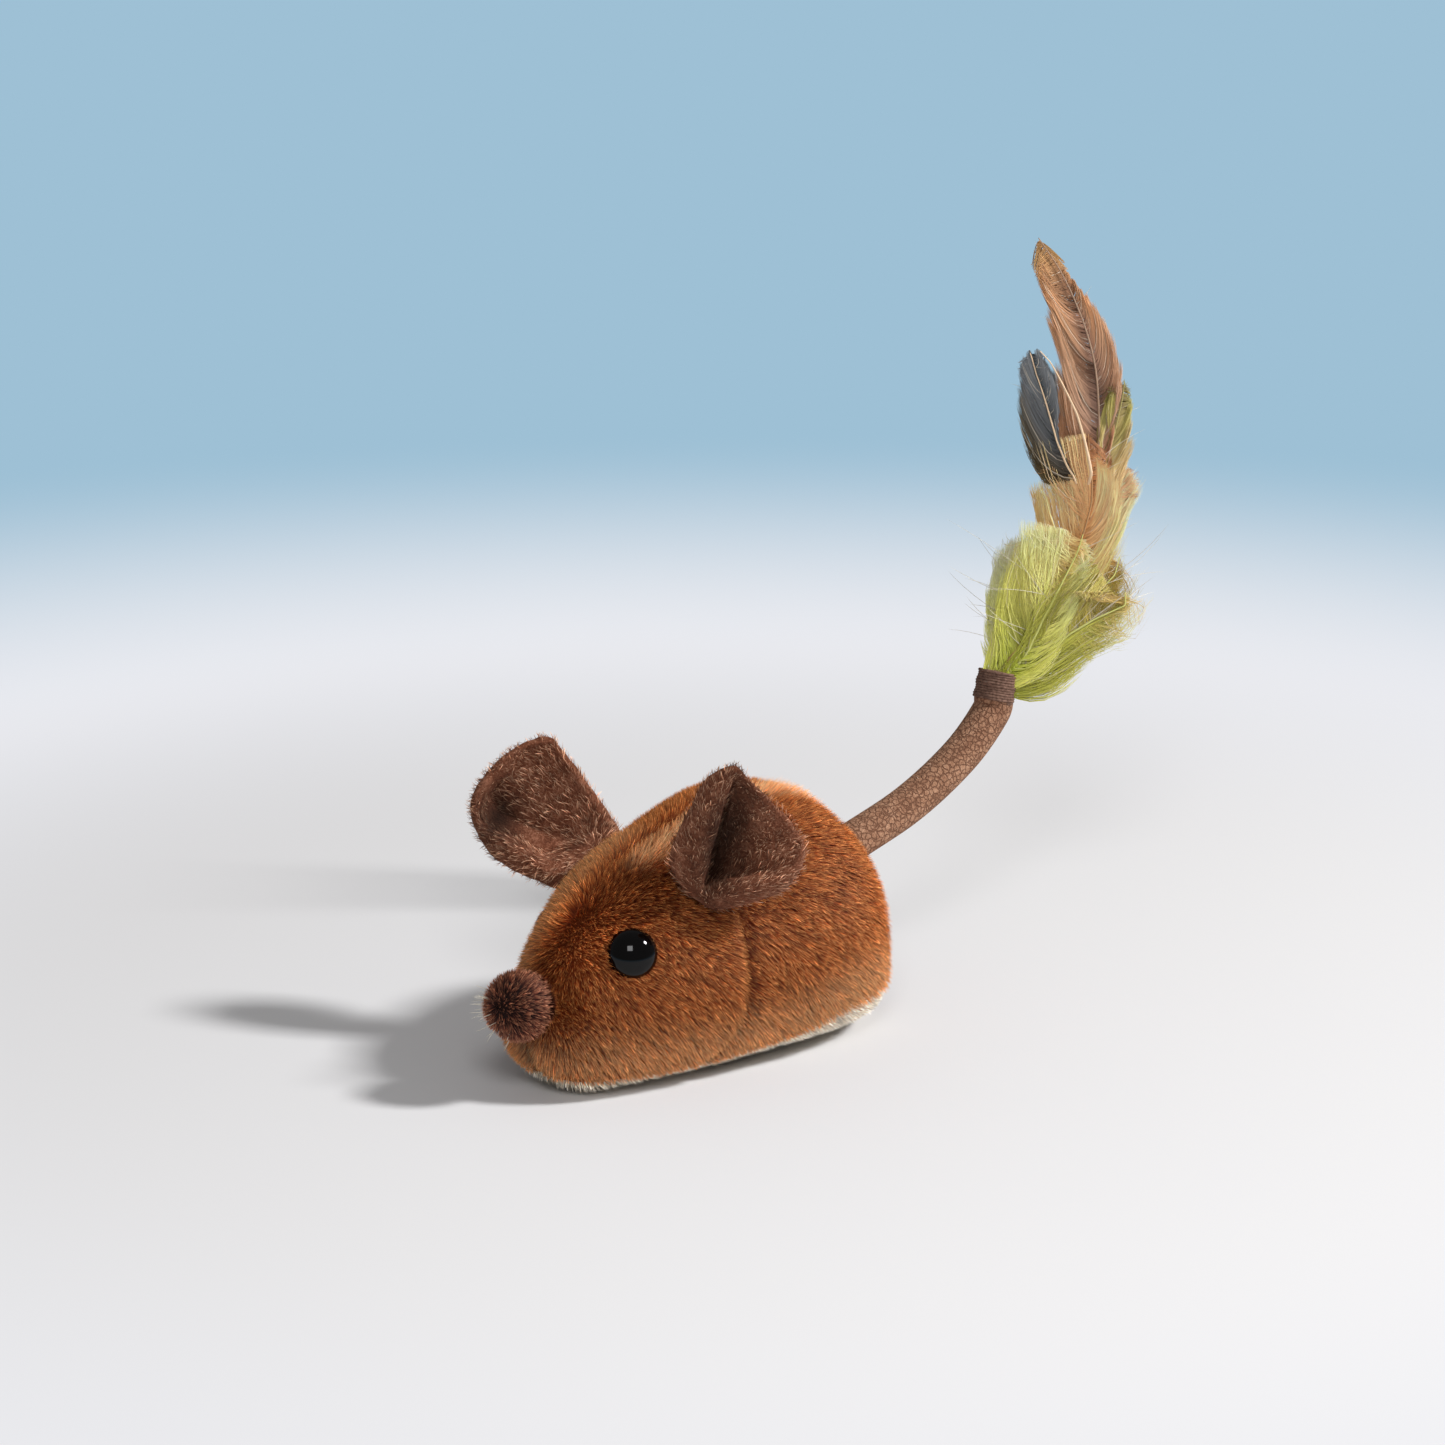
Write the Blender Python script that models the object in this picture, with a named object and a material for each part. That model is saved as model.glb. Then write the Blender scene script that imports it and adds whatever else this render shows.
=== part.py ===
"""Plush mouse cat toy: sewn cover, filling, folded ears, suede tail with a feather tuft, and a sound unit."""

from math import asin, cos, pi, radians, sin, sqrt

import bmesh
import bpy
from mathutils import Matrix, Vector

# Driving dimensions, in metres and degrees. The nose points along -Y, the tail along +Y.

# Body and cover
body_length = 0.0815
body_width = 0.051
body_height = 0.050
body_x = 0.0018
body_y = -0.0334
rest_cut = 0.0011
cover_thick = 0.0022
seam_gap = 0.0003
fit_gap = 0.0003
overrun = 0.004
head_length = 0.02875
belly_seam_front = 0.0036
belly_seam_rear = 0.0058
ring_points = 28
ring_stations = 17
upper_power_share = 2.2
lower_power_share = 3.6
widest_share = 0.40

# Shares of the body's length, half width, height (top) and height (bottom)
section_shares = (
    (0.00, 0.22, 0.470, 0.270),
    (0.03, 0.41, 0.575, 0.130),
    (0.08, 0.54, 0.660, 0.010),
    (0.15, 0.66, 0.750, -0.001),
    (0.23, 0.76, 0.825, -0.001),
    (0.31, 0.83, 0.880, -0.001),
    (0.40, 0.88, 0.920, -0.001),
    (0.50, 0.93, 0.965, -0.001),
    (0.60, 0.98, 1.000, -0.001),
    (0.70, 1.00, 1.000, -0.001),
    (0.79, 0.97, 0.950, -0.001),
    (0.87, 0.88, 0.860, -0.001),
    (0.93, 0.74, 0.760, 0.020),
    (0.975, 0.53, 0.650, 0.090),
    (1.00, 0.30, 0.550, 0.190),
)

# Eyes and nose
eye_diameter = 0.0090
eye_bulge = 0.0034
eye_sink = 0.0013
eye_shank_diameter = 0.0024
eye_shank_length = 0.0062
eye_washer_diameter = 0.0060
eye_washer_seat = 0.0010
eye_washer_thick = 0.0010
eye_inset = 0.01175
eye_height = 0.0285
nose_diameter = 0.0145
nose_depth = 0.0090
nose_seat = 0.0030
nose_rim_share = 0.25
nose_tilt = 12.0
round_sides = 16
crease_angle = 40.0

# Ears
ear_height = 0.0252
ear_width = 0.0300
ear_back_thick = 0.0012
ear_front_thick = 0.0010
ear_root_diameter = 0.0052
ear_xs = {"left": 0.0180, "right": 0.0158}
ear_neck_offsets = {"left": -0.0020, "right": -0.0005}
ear_leans = {"left": 22.0, "right": 56.0}
ear_tips = {"left": 8.0, "right": -20.0}
ear_turns = {"left": 38.0, "right": -36.0}
ear_cup_turn = 72.0
ear_stalk_length = 0.0030
ear_front_start_share = 0.09
ear_stalk_diameter = 0.0022
ear_columns = 8
ear_rows = 9

# Tail
tail_diameter = 0.0080
tail_core_diameter = 0.0046
tail_joint_gap = 0.0005
tail_root_inset = 0.00005
tail_root_height = 0.0315
tail_lengths = (0.0190, 0.0165, 0.0115)
tail_slopes = (16.0, 26.0, 40.0)
binding_diameter = 0.0086
binding_length = 0.0085
binding_slope = 74.0
binding_wall = 0.0008
quill_depth_share = 0.6
tail_sides = 14

# Feathers
tuft_length = 0.0890
quill_diameter = 0.0009
quill_ring_inner = 0.0013
quill_ring_outer = 0.0022
feather_thick = 0.0009
feather_stations = 9
feather_columns = 4
blade_wrap_limit = 40.0
blade_edge_share = 0.25

# Belly flap and its fastener
window_length = 0.0380
window_width = 0.0290
window_rear_margin = 0.01215
flap_gap = 0.0004
strip_thick = 0.0010
strip_width = 0.0180
strip_depth = 0.0050

# Sound unit
unit_length = 0.0350
unit_width = 0.0260
unit_height = 0.0190
unit_wall = 0.0012
unit_base = 0.0020
unit_split_share = 0.55
bay_wall = 0.0010
boss_wall = 0.0008
cell_diameter = 0.0116
cell_thick = 0.0054
cell_count = 3
cell_cap_share = 0.78
door_thick = 0.0009
door_overlap = 0.0010
screw_diameter = 0.0018
screw_head_diameter = 0.0032
screw_head_thick = 0.0010
screw_slot_share = 0.6
screw_length = 0.0060
screw_grip = 0.0025
screw_sides = 12
board_thick = 0.0010
piezo_diameter = 0.0200
piezo_thick = 0.0005
sound_hole_diameter = 0.0016
sound_hole_ring = 0.0048
sound_hole_count = 6
sound_hole_sides = 10
spring_wire = 0.0004
spring_turns = 3
spring_points = 9
spring_free = 0.0034
spring_wide_share = 0.34
spring_taper_share = 0.14
sensor_diameter = 0.0040
sensor_height = 0.0052
sensor_wall = 0.0004
sensor_ball_diameter = 0.0024
switch_length = 0.0060
switch_width = 0.0036
switch_height = 0.0036
knob_length = 0.0022
knob_width = 0.0014
knob_travel = 0.0020
knob_stand = 0.0010
lead_diameter = 0.0006
lead_points = 7
lead_inner_share = 0.2
blob_diameter = 0.0060
blob_height = 0.0012

# Values worked out from the sizes above
half_length = body_length / 2
half_width = body_width / 2
neck_seam_y = head_length - half_length
eye_y = eye_inset - half_length
tail_root_y = half_length - tail_root_inset
window_y = half_length - window_rear_margin - window_length / 2
tail_radius = tail_diameter / 2
tail_cup_radius = tail_radius + tail_joint_gap
unit_floor = cover_thick + 2 * (strip_thick + fit_gap) + fit_gap
unit_y = window_y
big = 2 * (body_length + tuft_length)


def clear_scene():
    for obj in list(bpy.data.objects):
        bpy.data.objects.remove(obj, do_unlink=True)


def material(name, colour, roughness, metallic=0.0):
    made = bpy.data.materials.new(name)
    made.use_nodes = True
    shader = made.node_tree.nodes["Principled BSDF"]
    shader.inputs["Base Color"].default_value = (*colour, 1.0)
    shader.inputs["Roughness"].default_value = roughness
    shader.inputs["Metallic"].default_value = metallic
    made.diffuse_color = (*colour, 1.0)
    return made


def link(obj, parent=None):
    """Puts an object in the scene, under this parent or else under the whole toy."""
    bpy.context.scene.collection.objects.link(obj)
    obj.parent = parent or bpy.data.objects["toy"]
    return obj


def empty(name, frame, parent=None):
    obj = bpy.data.objects.new(name, None)
    obj.matrix_basis = frame
    return link(obj, parent)


def make_object(name, mesh, look=None, parent=None, smooth=True):
    obj = bpy.data.objects.new(name, mesh)
    if look is not None:
        mesh.materials.append(look)
    if smooth:
        mesh.shade_smooth()
        mesh.set_sharp_from_angle(angle=radians(crease_angle))
    return link(obj, parent)


def finish_bmesh(name, bm):
    bmesh.ops.recalc_face_normals(bm, faces=bm.faces)
    mesh = bpy.data.meshes.new(name)
    bm.to_mesh(mesh)
    bm.free()
    return mesh


def loft(name, rings):
    """A closed solid through rings of equal point counts, with flat end caps."""
    bm = bmesh.new()
    rows = [[bm.verts.new(point) for point in ring] for ring in rings]
    count = len(rows[0])
    for low, high in zip(rows, rows[1:]):
        for i in range(count):
            j = (i + 1) % count
            bm.faces.new((low[i], low[j], high[j], high[i]))
    bm.faces.new(rows[0][::-1])
    bm.faces.new(rows[-1])
    return finish_bmesh(name, bm)


def turned(name, profile, sides=round_sides, frame=None):
    """A solid of revolution about local Z. The profile is (radius, height) pairs between two axis points."""
    bm = bmesh.new()
    first = bm.verts.new((0, 0, profile[0][1]))
    last = bm.verts.new((0, 0, profile[-1][1]))
    rows = []
    for radius, height in profile[1:-1]:
        turns = [2 * pi * i / sides for i in range(sides)]
        rows.append([bm.verts.new((radius * cos(a), radius * sin(a), height)) for a in turns])
    for i in range(sides):
        j = (i + 1) % sides
        bm.faces.new((first, rows[0][j], rows[0][i]))
        bm.faces.new((last, rows[-1][i], rows[-1][j]))
        for low, high in zip(rows, rows[1:]):
            bm.faces.new((low[i], low[j], high[j], high[i]))
    if frame is not None:
        bmesh.ops.transform(bm, matrix=frame, verts=bm.verts)
    return finish_bmesh(name, bm)


def rod(name, radius, low, high, frame=None, sides=round_sides):
    return turned(name, ((0, low), (radius, low), (radius, high), (0, high)), sides, frame)


def ball(name, radius, centre, sides=round_sides):
    rows = sides // 2
    turns = [pi * i / rows - pi / 2 for i in range(rows + 1)]
    profile = [(radius * cos(a), radius * sin(a)) for a in turns]
    return turned(name, profile, sides, Matrix.Translation(centre))


def box(name, low, high, frame=None):
    bm = bmesh.new()
    bmesh.ops.create_cube(bm, size=1.0)
    for vert in bm.verts:
        vert.co = [a if c < 0 else b for a, b, c in zip(low, high, vert.co)]
    if frame is not None:
        bmesh.ops.transform(bm, matrix=frame, verts=bm.verts)
    return finish_bmesh(name, bm)


def box_at(name, centre, size):
    low = [c - s / 2 for c, s in zip(centre, size)]
    high = [c + s / 2 for c, s in zip(centre, size)]
    return box(name, low, high)


def aim(origin, direction, side=Vector((0, 0, 1))):
    """A frame whose Z axis lies along direction, with its X axis as near to side as it can be."""
    z = Vector(direction).normalized()
    x = (Vector(side) - z * z.dot(side)).normalized()
    y = z.cross(x)
    frame = Matrix((x, y, z)).transposed().to_4x4()
    frame.translation = origin
    return frame


def tool(mesh, parent=None):
    """A hidden cutter."""
    obj = make_object("cut_" + mesh.name, mesh, parent=parent, smooth=False)
    obj.hide_render = True
    obj.display_type = "WIRE"
    return obj


def combine(obj, other, operation):
    modifier = obj.modifiers.new(operation.lower() + "_" + other.name, "BOOLEAN")
    modifier.operation = operation
    modifier.solver = "EXACT"
    modifier.object = other
    return obj


def cut(obj, *tools):
    for other in tools:
        combine(obj, other, "DIFFERENCE")
    return obj


def keep(obj, other):
    return combine(obj, other, "INTERSECT")


def join(obj, other):
    return combine(obj, other, "UNION")


def row_at(shares, along):
    """The row of a table of shares at this place, through a smooth curve (Catmull-Rom)."""
    last = len(shares) - 1
    i = max(k for k in range(last) if shares[k][0] <= along or k == 0)
    rows = [shares[min(max(i + k, 0), last)] for k in (-1, 0, 1, 2)]
    span = rows[2][0] - rows[1][0]
    t = (along - rows[1][0]) / span
    found = []
    for column in range(1, len(rows[0])):
        before, start, end, after = (row[column] for row in rows)
        slope_in = (end - before) / (rows[2][0] - rows[0][0]) * span
        slope_out = (after - start) / (rows[3][0] - rows[1][0]) * span
        value = (2 * t**3 - 3 * t**2 + 1) * start + (t**3 - 2 * t**2 + t) * slope_in
        value += (3 * t**2 - 2 * t**3) * end + (t**3 - t**2) * slope_out
        found.append(value)
    return found


def section(along, inset):
    """Half width, top, bottom and height of the widest place of the body's section."""
    wide, top, bottom = row_at(section_shares, along)
    low = bottom * body_height - rest_cut + inset
    high = top * body_height - inset
    return wide * half_width - inset, high, low, low + widest_share * (high - low)


def signed_power(value, power):
    return (1 if value >= 0 else -1) * abs(value) ** power


def section_point(along, turn, inset):
    wide, high, low, middle = section(along, inset)
    power = upper_power_share if sin(turn) >= 0 else lower_power_share
    rise = high - middle if sin(turn) >= 0 else middle - low
    y = -half_length + inset + along * (body_length - 2 * inset)
    return Vector((
        wide * signed_power(cos(turn), 2 / power),
        y,
        middle + rise * signed_power(sin(turn), 2 / power),
    ))


def body_form(name, inset):
    """The body's rounded form, drawn in by inset on every side."""
    shares = [(1 - cos(pi * i / (ring_stations - 1))) / 2 for i in range(ring_stations)]
    turns = [2 * pi * i / ring_points for i in range(ring_points)]
    return loft(name, [[section_point(s, a, inset) for a in turns] for s in shares])


def skin_at(y, height, side):
    """The cover's point at this length and height on one side, and its outward normal."""
    along = (y + half_length) / body_length
    wide, high, low, middle = section(along, 0)
    turn = asin(((height - middle) / (high - middle)) ** (upper_power_share / 2))
    here = section_point(along, turn, 0)
    step = overrun / body_length / 2
    along_y = section_point(along + step, turn, 0) - section_point(along - step, turn, 0)
    along_turn = section_point(along, turn + step, 0) - section_point(along, turn - step, 0)
    normal = along_turn.cross(along_y).normalized()
    if normal.x < 0:
        normal = -normal
    return Vector((side * here.x, here.y, here.z)), Vector((side * normal.x, normal.y, normal.z))


def height_at(y, x):
    """Height of the cover's top over this place."""
    wide, high, low, middle = section((y + half_length) / body_length, 0)
    return middle + (high - middle) * (1 - (x / wide) ** upper_power_share) ** (1 / upper_power_share)


def belly_seam(y):
    share = (y + half_length) / body_length
    return belly_seam_front + share * (belly_seam_rear - belly_seam_front)


def region(name, x_low, x_high, y_low, y_high, above):
    """A block with its lower or upper face on the sloping belly seam."""
    side = 1 if above else -1
    far = big * side
    near = [belly_seam(y) + side * seam_gap / 2 for y in (y_low, y_high)]
    bm = bmesh.new()
    bmesh.ops.create_cube(bm, size=1.0)
    for vert in bm.verts:
        at_near = (vert.co.z < 0) == above
        seam = near[0] if vert.co.y < 0 else near[1]
        vert.co.x = x_low if vert.co.x < 0 else x_high
        vert.co.y = y_low if vert.co.y < 0 else y_high
        vert.co.z = seam if at_near else far
    return finish_bmesh(name, bm)


def make_cover(parent, look, belly_look, sockets, eye_holes):
    outer = body_form("cover_outside", 0)
    inner = tool(body_form("cover_inside", cover_thick))
    half = seam_gap / 2
    spans = {"head": (-big, neck_seam_y - half), "body": (neck_seam_y + half, big)}
    sides = {"left": (half, big), "right": (-big, -half)}
    panels = {}
    for part, (y_low, y_high) in spans.items():
        for side, (x_low, x_high) in sides.items():
            name = part + "_panel_" + side
            obj = make_object(name, outer.copy(), look, parent)
            keep(obj, tool(region(name + "_place", x_low, x_high, y_low, y_high, True)))
            cut(obj, inner)
            panels[name] = obj
    for side in sides:
        cut(panels["head_panel_" + side], sockets["ear_" + side], eye_holes[side])
        cut(panels["body_panel_" + side], sockets["ear_" + side], sockets["tail"])
    belly = make_object("belly_panel", outer.copy(), belly_look, parent)
    keep(belly, tool(region("belly_place", -big, big, -big, big, False)))
    cut(belly, inner)
    cut(belly, tool(box("below_rest", (-big, -big, -big), (big, big, 0))))
    high = belly_seam_rear + overrun
    window = box_at("belly_window", (0, window_y, 0), (window_width, window_length, high * 2))
    cut(belly, tool(window))
    return panels


def make_filling(parent, look, sockets, eye_rooms):
    """The stuffing behind the cover, in two pieces, with a pocket for the sound unit."""
    inset = cover_thick + fit_gap
    form = body_form("filling_form", inset)
    half = seam_gap / 2
    floor = inset + strip_thick + 2 * fit_gap
    above = tool(box("filling_floor", (-big, -big, -big), (big, big, floor)))
    head = cut(make_object("head_filling", form.copy(), look, parent), above)
    body = cut(make_object("body_filling", form, look, parent), above)
    cut(head, tool(box("behind_neck", (-big, neck_seam_y - half, -big), (big, big, big))))
    cut(body, tool(box("before_neck", (-big, -big, -big), (big, neck_seam_y + half, big))))
    room = [size + 2 * fit_gap for size in (unit_width, unit_length)]
    top = unit_floor + unit_height + fit_gap
    pocket = tool(box_at("unit_pocket", (0, unit_y, 0), (*room, 2 * top)))
    lip = window_y - window_length / 2 + strip_depth
    low = (-strip_width / 2 - fit_gap, lip - 2 * strip_depth - overrun, 0)
    strip_room = unit_floor + fit_gap
    strips = tool(box("strip_room", low, (strip_width / 2 + fit_gap, lip, strip_room)))
    for obj in (head, body):
        cut(obj, pocket, strips)
    for side in ("left", "right"):
        cut(head, sockets["ear_" + side], eye_rooms[side])
        cut(body, sockets["ear_" + side])
    cut(body, sockets["tail"])


def make_flap(parent, look, fastener_look):
    """The belly flap, its rounded hinge edge and the two fastener strips."""
    radius = cover_thick / 2
    rear = window_y + window_length / 2 - flap_gap - radius
    front = window_y - window_length / 2 + flap_gap
    half = window_width / 2 - flap_gap
    arcs = [pi / 2 - pi * i / 8 for i in range(9)]
    outline = [(front, 0), (front, cover_thick)]
    outline += [(rear + radius * cos(a), radius + radius * sin(a)) for a in arcs]
    hinge = empty("flap_hinge", Matrix.Translation((0, rear, radius)), parent)
    rings = [[(x, y - rear, z - radius) for y, z in outline] for x in (-half, half)]
    make_object("belly_flap", loft("belly_flap", rings), look, hinge)
    low_z = cover_thick + fit_gap
    strip = (strip_width, strip_depth - flap_gap, strip_thick)
    centre_y = front + strip_depth / 2 + fit_gap
    centre = (0, centre_y - rear, low_z + strip_thick / 2 - radius)
    make_object("hook_strip", box_at("hook_strip", centre, strip), fastener_look, hinge)
    over = low_z + strip_thick + fit_gap
    sewn = front - flap_gap - strip_depth
    edge = front - flap_gap
    profile = [(sewn, low_z), (edge - fit_gap, low_z), (edge - fit_gap, over), (front + strip_depth, over)]
    profile += [(front + strip_depth, over + strip_thick), (edge - fit_gap - strip_thick, over + strip_thick)]
    profile += [(edge - fit_gap - strip_thick, low_z + strip_thick), (sewn, low_z + strip_thick)]
    rings = [[(x, y, z) for y, z in profile] for x in (-strip_width / 2, strip_width / 2)]
    make_object("loop_strip", loft("loop_strip", rings), fastener_look, parent, smooth=False)


def eye_frames():
    """Frames on the cover where each eye sits, with Z pointing out of the head."""
    frames = {}
    for side, sign in (("left", 1), ("right", -1)):
        point, normal = skin_at(eye_y, eye_height, sign)
        frames[side] = aim(point, normal)
    return frames


def make_eyes(parent, look, washer_look, frames):
    seat = fit_gap - eye_sink
    for side, frame in frames.items():
        turns = [pi / 2 * i / 6 for i in range(7)]
        dome = [(eye_diameter / 2 * cos(a), seat + eye_bulge * sin(a)) for a in turns]
        shank = eye_shank_diameter / 2
        profile = [(0, seat - eye_shank_length), (shank, seat - eye_shank_length), (shank, seat)]
        profile += dome[:-1] + [(0, seat + eye_bulge)]
        mesh = turned("eye_" + side, profile, round_sides, frame)
        make_object("eye_" + side, mesh, look, parent)
        inside = -cover_thick - eye_washer_seat
        deep = inside - eye_washer_thick
        washer = rod("eye_washer_" + side, eye_washer_diameter / 2, deep, inside, frame)
        obj = make_object("eye_washer_" + side, washer, washer_look, parent)
        bore = rod("washer_bore_" + side, shank + fit_gap, -eye_shank_length * 2, eye_shank_length, frame)
        cut(obj, tool(bore))


def eye_cutters(frames):
    """Holes for the shanks in the cover, and room behind it for shank and washer."""
    holes = {}
    rooms = {}
    for side, frame in frames.items():
        shank = eye_shank_diameter / 2 + fit_gap
        hole = [(0, -eye_shank_length * 2), (shank, -eye_shank_length * 2), (shank, -eye_sink)]
        hole += [(eye_diameter / 2 + fit_gap, -eye_sink), (eye_diameter / 2 + fit_gap, overrun), (0, overrun)]
        holes[side] = tool(turned("eye_hole_" + side, hole, round_sides, frame))
        wide = eye_washer_diameter / 2 + fit_gap
        deep = -eye_shank_length - eye_sink - fit_gap
        rooms[side] = tool(rod("eye_room_" + side, wide, deep, overrun, frame))
    return holes, rooms


def make_nose(parent, look):
    """The gathered nose patch, hollowed behind to sit on the snout."""
    wide, high, low, middle = section(0, 0)
    tilt = radians(nose_tilt)
    out = Vector((0, -cos(tilt), sin(tilt)))
    front = Vector((0, -half_length - fit_gap, (high + low) / 2))
    turns = [pi / 2 * i / 6 for i in range(7)]
    radius = nose_diameter / 2
    rim = nose_depth * nose_rim_share
    profile = [(0, -nose_seat), (radius - rim, -nose_seat), (radius, rim - nose_seat)]
    profile += [(radius * cos(a), rim + (nose_depth - rim) * sin(a)) for a in turns[:-1]]
    profile += [(0, nose_depth)]
    frame = aim(front - Vector((0, radius * sin(tilt), 0)), out)
    nose = make_object("nose_patch", turned("nose_patch", profile, round_sides, frame), look, parent)
    cut(nose, tool(body_form("snout_room", -fit_gap)))


def ear_frame(side):
    """The ear's frame: origin at its root, Z up the ear, Y towards the back of its cup."""
    sign = 1 if side == "left" else -1
    lean = radians(ear_leans[side])
    tip = radians(ear_tips[side])
    up = Vector((sign * sin(lean) * cos(tip), sin(tip), cos(lean) * cos(tip)))
    turn = radians(ear_turns[side])
    back = Vector((-sign * sin(turn), cos(turn), 0))
    x = ear_xs[side]
    y = neck_seam_y + ear_neck_offsets[side]
    root = Vector((sign * x, y, height_at(y, x) + ear_root_diameter / 8))
    up.normalize()
    back = (back - up * up.dot(back)).normalized()
    frame = Matrix((back.cross(up), back, up)).transposed().to_4x4()
    frame.translation = root
    return frame


# Up the ear: half width of the sheet, radius of its cup, and how far the cup's middle leans back
ear_shares = (
    (0.00, 0.12, 0.07, 0.00),
    (0.10, 0.36, 0.14, 0.02),
    (0.25, 0.78, 0.26, 0.07),
    (0.42, 0.98, 0.40, 0.12),
    (0.60, 1.00, 0.48, 0.14),
    (0.78, 0.88, 0.52, 0.12),
    (0.92, 0.56, 0.56, 0.07),
    (1.00, 0.24, 0.60, 0.03),
)


def ear_ring(share, inner, outer):
    """One level of an ear layer, between two offsets from the sheet's middle."""
    wide, cup, back = row_at(ear_shares, share)
    radius = cup * ear_width
    reach = min(wide * ear_width / 2 / radius, pi - radians(ear_cup_turn) / 2)
    height = ear_stalk_length + share * ear_height
    lift = back * ear_height
    points = []
    for offset, order in ((outer, 1), (inner, -1)):
        for i in range(ear_columns + 1):
            turn = order * reach * (2 * i / ear_columns - 1)
            bow = (radius + offset) * cos(turn) - radius
            points.append(((radius + offset) * sin(turn), lift + bow, height))
    return points


def make_ears(parent, back_look, front_look):
    gap = fit_gap / 2
    steps = [i / (ear_rows - 1) for i in range(ear_rows)]
    start = {"back": 0, "front": ear_front_start_share}
    for side in ("left", "right"):
        hinge = empty("ear_hinge_" + side, ear_frame(side), parent)
        layers = {
            "back": (gap, gap + ear_back_thick, back_look),
            "front": (-gap - ear_front_thick, -gap, front_look),
        }
        for layer, (inner, outer, look) in layers.items():
            name = "ear_" + side + "_" + layer
            low = start[layer]
            mesh = loft(name, [ear_ring(low + (1 - low) * step, inner, outer) for step in steps])
            obj = make_object(name, mesh, look, hinge)
            if layer == "back":
                join(obj, tool(ear_root(name), hinge))


def ear_root(name):
    """The ear's rounded root and the short stalk above it."""
    radius = ear_root_diameter / 2
    turns = [pi * i / 8 - pi / 2 for i in range(7)]
    profile = [(0, -radius)] + [(radius * cos(a), radius * sin(a)) for a in turns[1:]]
    top = ear_stalk_length + ear_back_thick
    profile += [(ear_stalk_diameter / 2, top), (0, top)]
    return turned(name + "_root", profile)


def tail_points():
    """The tail's joint centres, from its root to the binding, and the binding's direction."""
    points = [Vector((0, tail_root_y, tail_root_height))]
    for length, slope in zip(tail_lengths, tail_slopes):
        angle = radians(slope)
        points.append(points[-1] + length * Vector((0, cos(angle), sin(angle))))
    angle = radians(binding_slope)
    return points, Vector((0, cos(angle), sin(angle)))


def make_tail(parent, sleeve_look, core_look, binding_look):
    """The root knot, three sleeve segments with their cores, and the binding. Returns the binding's frame."""
    points, up = tail_points()
    knot = ball("tail_root_knot", tail_radius, points[0])
    make_object("tail_root_knot", knot, sleeve_look, parent)
    for i, name in enumerate(("base", "middle", "tip")):
        make_tail_segment(name, points[i], points[i + 1], i == 0, parent, sleeve_look, core_look)
    frame = aim(points[-1], up, (1, 0, 0))
    make_binding(frame, parent, binding_look)
    return frame


def make_tail_segment(name, low, high, is_first, parent, sleeve_look, core_look):
    """One sleeve segment and its core, cupped at its far end for the next one's rounded start."""
    core_radius = tail_core_diameter / 2
    length = (high - low).length
    frame = aim(low, high - low, (1, 0, 0))
    mesh = rod("tail_sleeve_" + name, tail_radius, 0, length, frame, tail_sides)
    sleeve = make_object("tail_sleeve_" + name, mesh, sleeve_look, parent)
    core_low = 0 if is_first else fit_gap - sqrt(tail_radius**2 - core_radius**2)
    mesh = rod("tail_core_" + name, core_radius, core_low, length, frame, tail_sides)
    core = make_object("tail_core_" + name, mesh, core_look, parent)
    if is_first:
        root_cup = tool(ball("tail_cup_root", tail_radius + fit_gap, low))
        cut(sleeve, root_cup)
        cut(core, root_cup)
    else:
        join(sleeve, tool(ball("tail_end_" + name, tail_radius, low, tail_sides)))
    cup = tool(ball("tail_cup_" + name, tail_cup_radius, high))
    cut(sleeve, cup)
    cut(core, cup)
    reach = core_radius + fit_gap
    cut(sleeve, tool(rod("tail_bore_" + name, reach, -2 * tail_radius, 2 * length, frame, tail_sides)))


def make_binding(frame, parent, look):
    """The bound end of the tail: a rounded start, a wider collar and a bore for the quills."""
    radius = binding_diameter / 2
    turns = [-pi / 2 + pi / 2 * i / 5 for i in range(1, 6)]
    profile = [(0, -tail_radius)]
    profile += [(tail_radius * cos(a), tail_radius * sin(a)) for a in turns]
    collar = 2 * tail_joint_gap + binding_diameter / 4
    profile += [(tail_radius, collar), (radius, collar + tail_joint_gap)]
    profile += [(radius, binding_length), (0, binding_length)]
    mesh = turned("tail_binding", profile, tail_sides + 2, frame)
    binding = make_object("tail_binding", mesh, look, parent)
    floor = binding_length - quill_depth()
    cut(binding, tool(rod("binding_bore", radius - binding_wall, floor, 2 * binding_length, frame)))


def quill_depth():
    """How far the quills reach down into the binding."""
    return binding_length * quill_depth_share


# Up the tuft: how far its middle line stands back, and the spread of its two layers, as shares of its length
tuft_shares = (
    (-0.06, -0.020, 0.0, 0.0),
    (0.00, 0.000, 0.0, 0.0),
    (0.03, 0.014, 0.004, 0.008),
    (0.12, 0.095, 0.030, 0.068),
    (0.25, 0.185, 0.055, 0.110),
    (0.40, 0.240, 0.070, 0.115),
    (0.55, 0.255, 0.072, 0.080),
    (0.70, 0.235, 0.070, 0.050),
    (0.85, 0.170, 0.058, 0.030),
    (1.00, 0.085, 0.040, 0.020),
)

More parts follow.
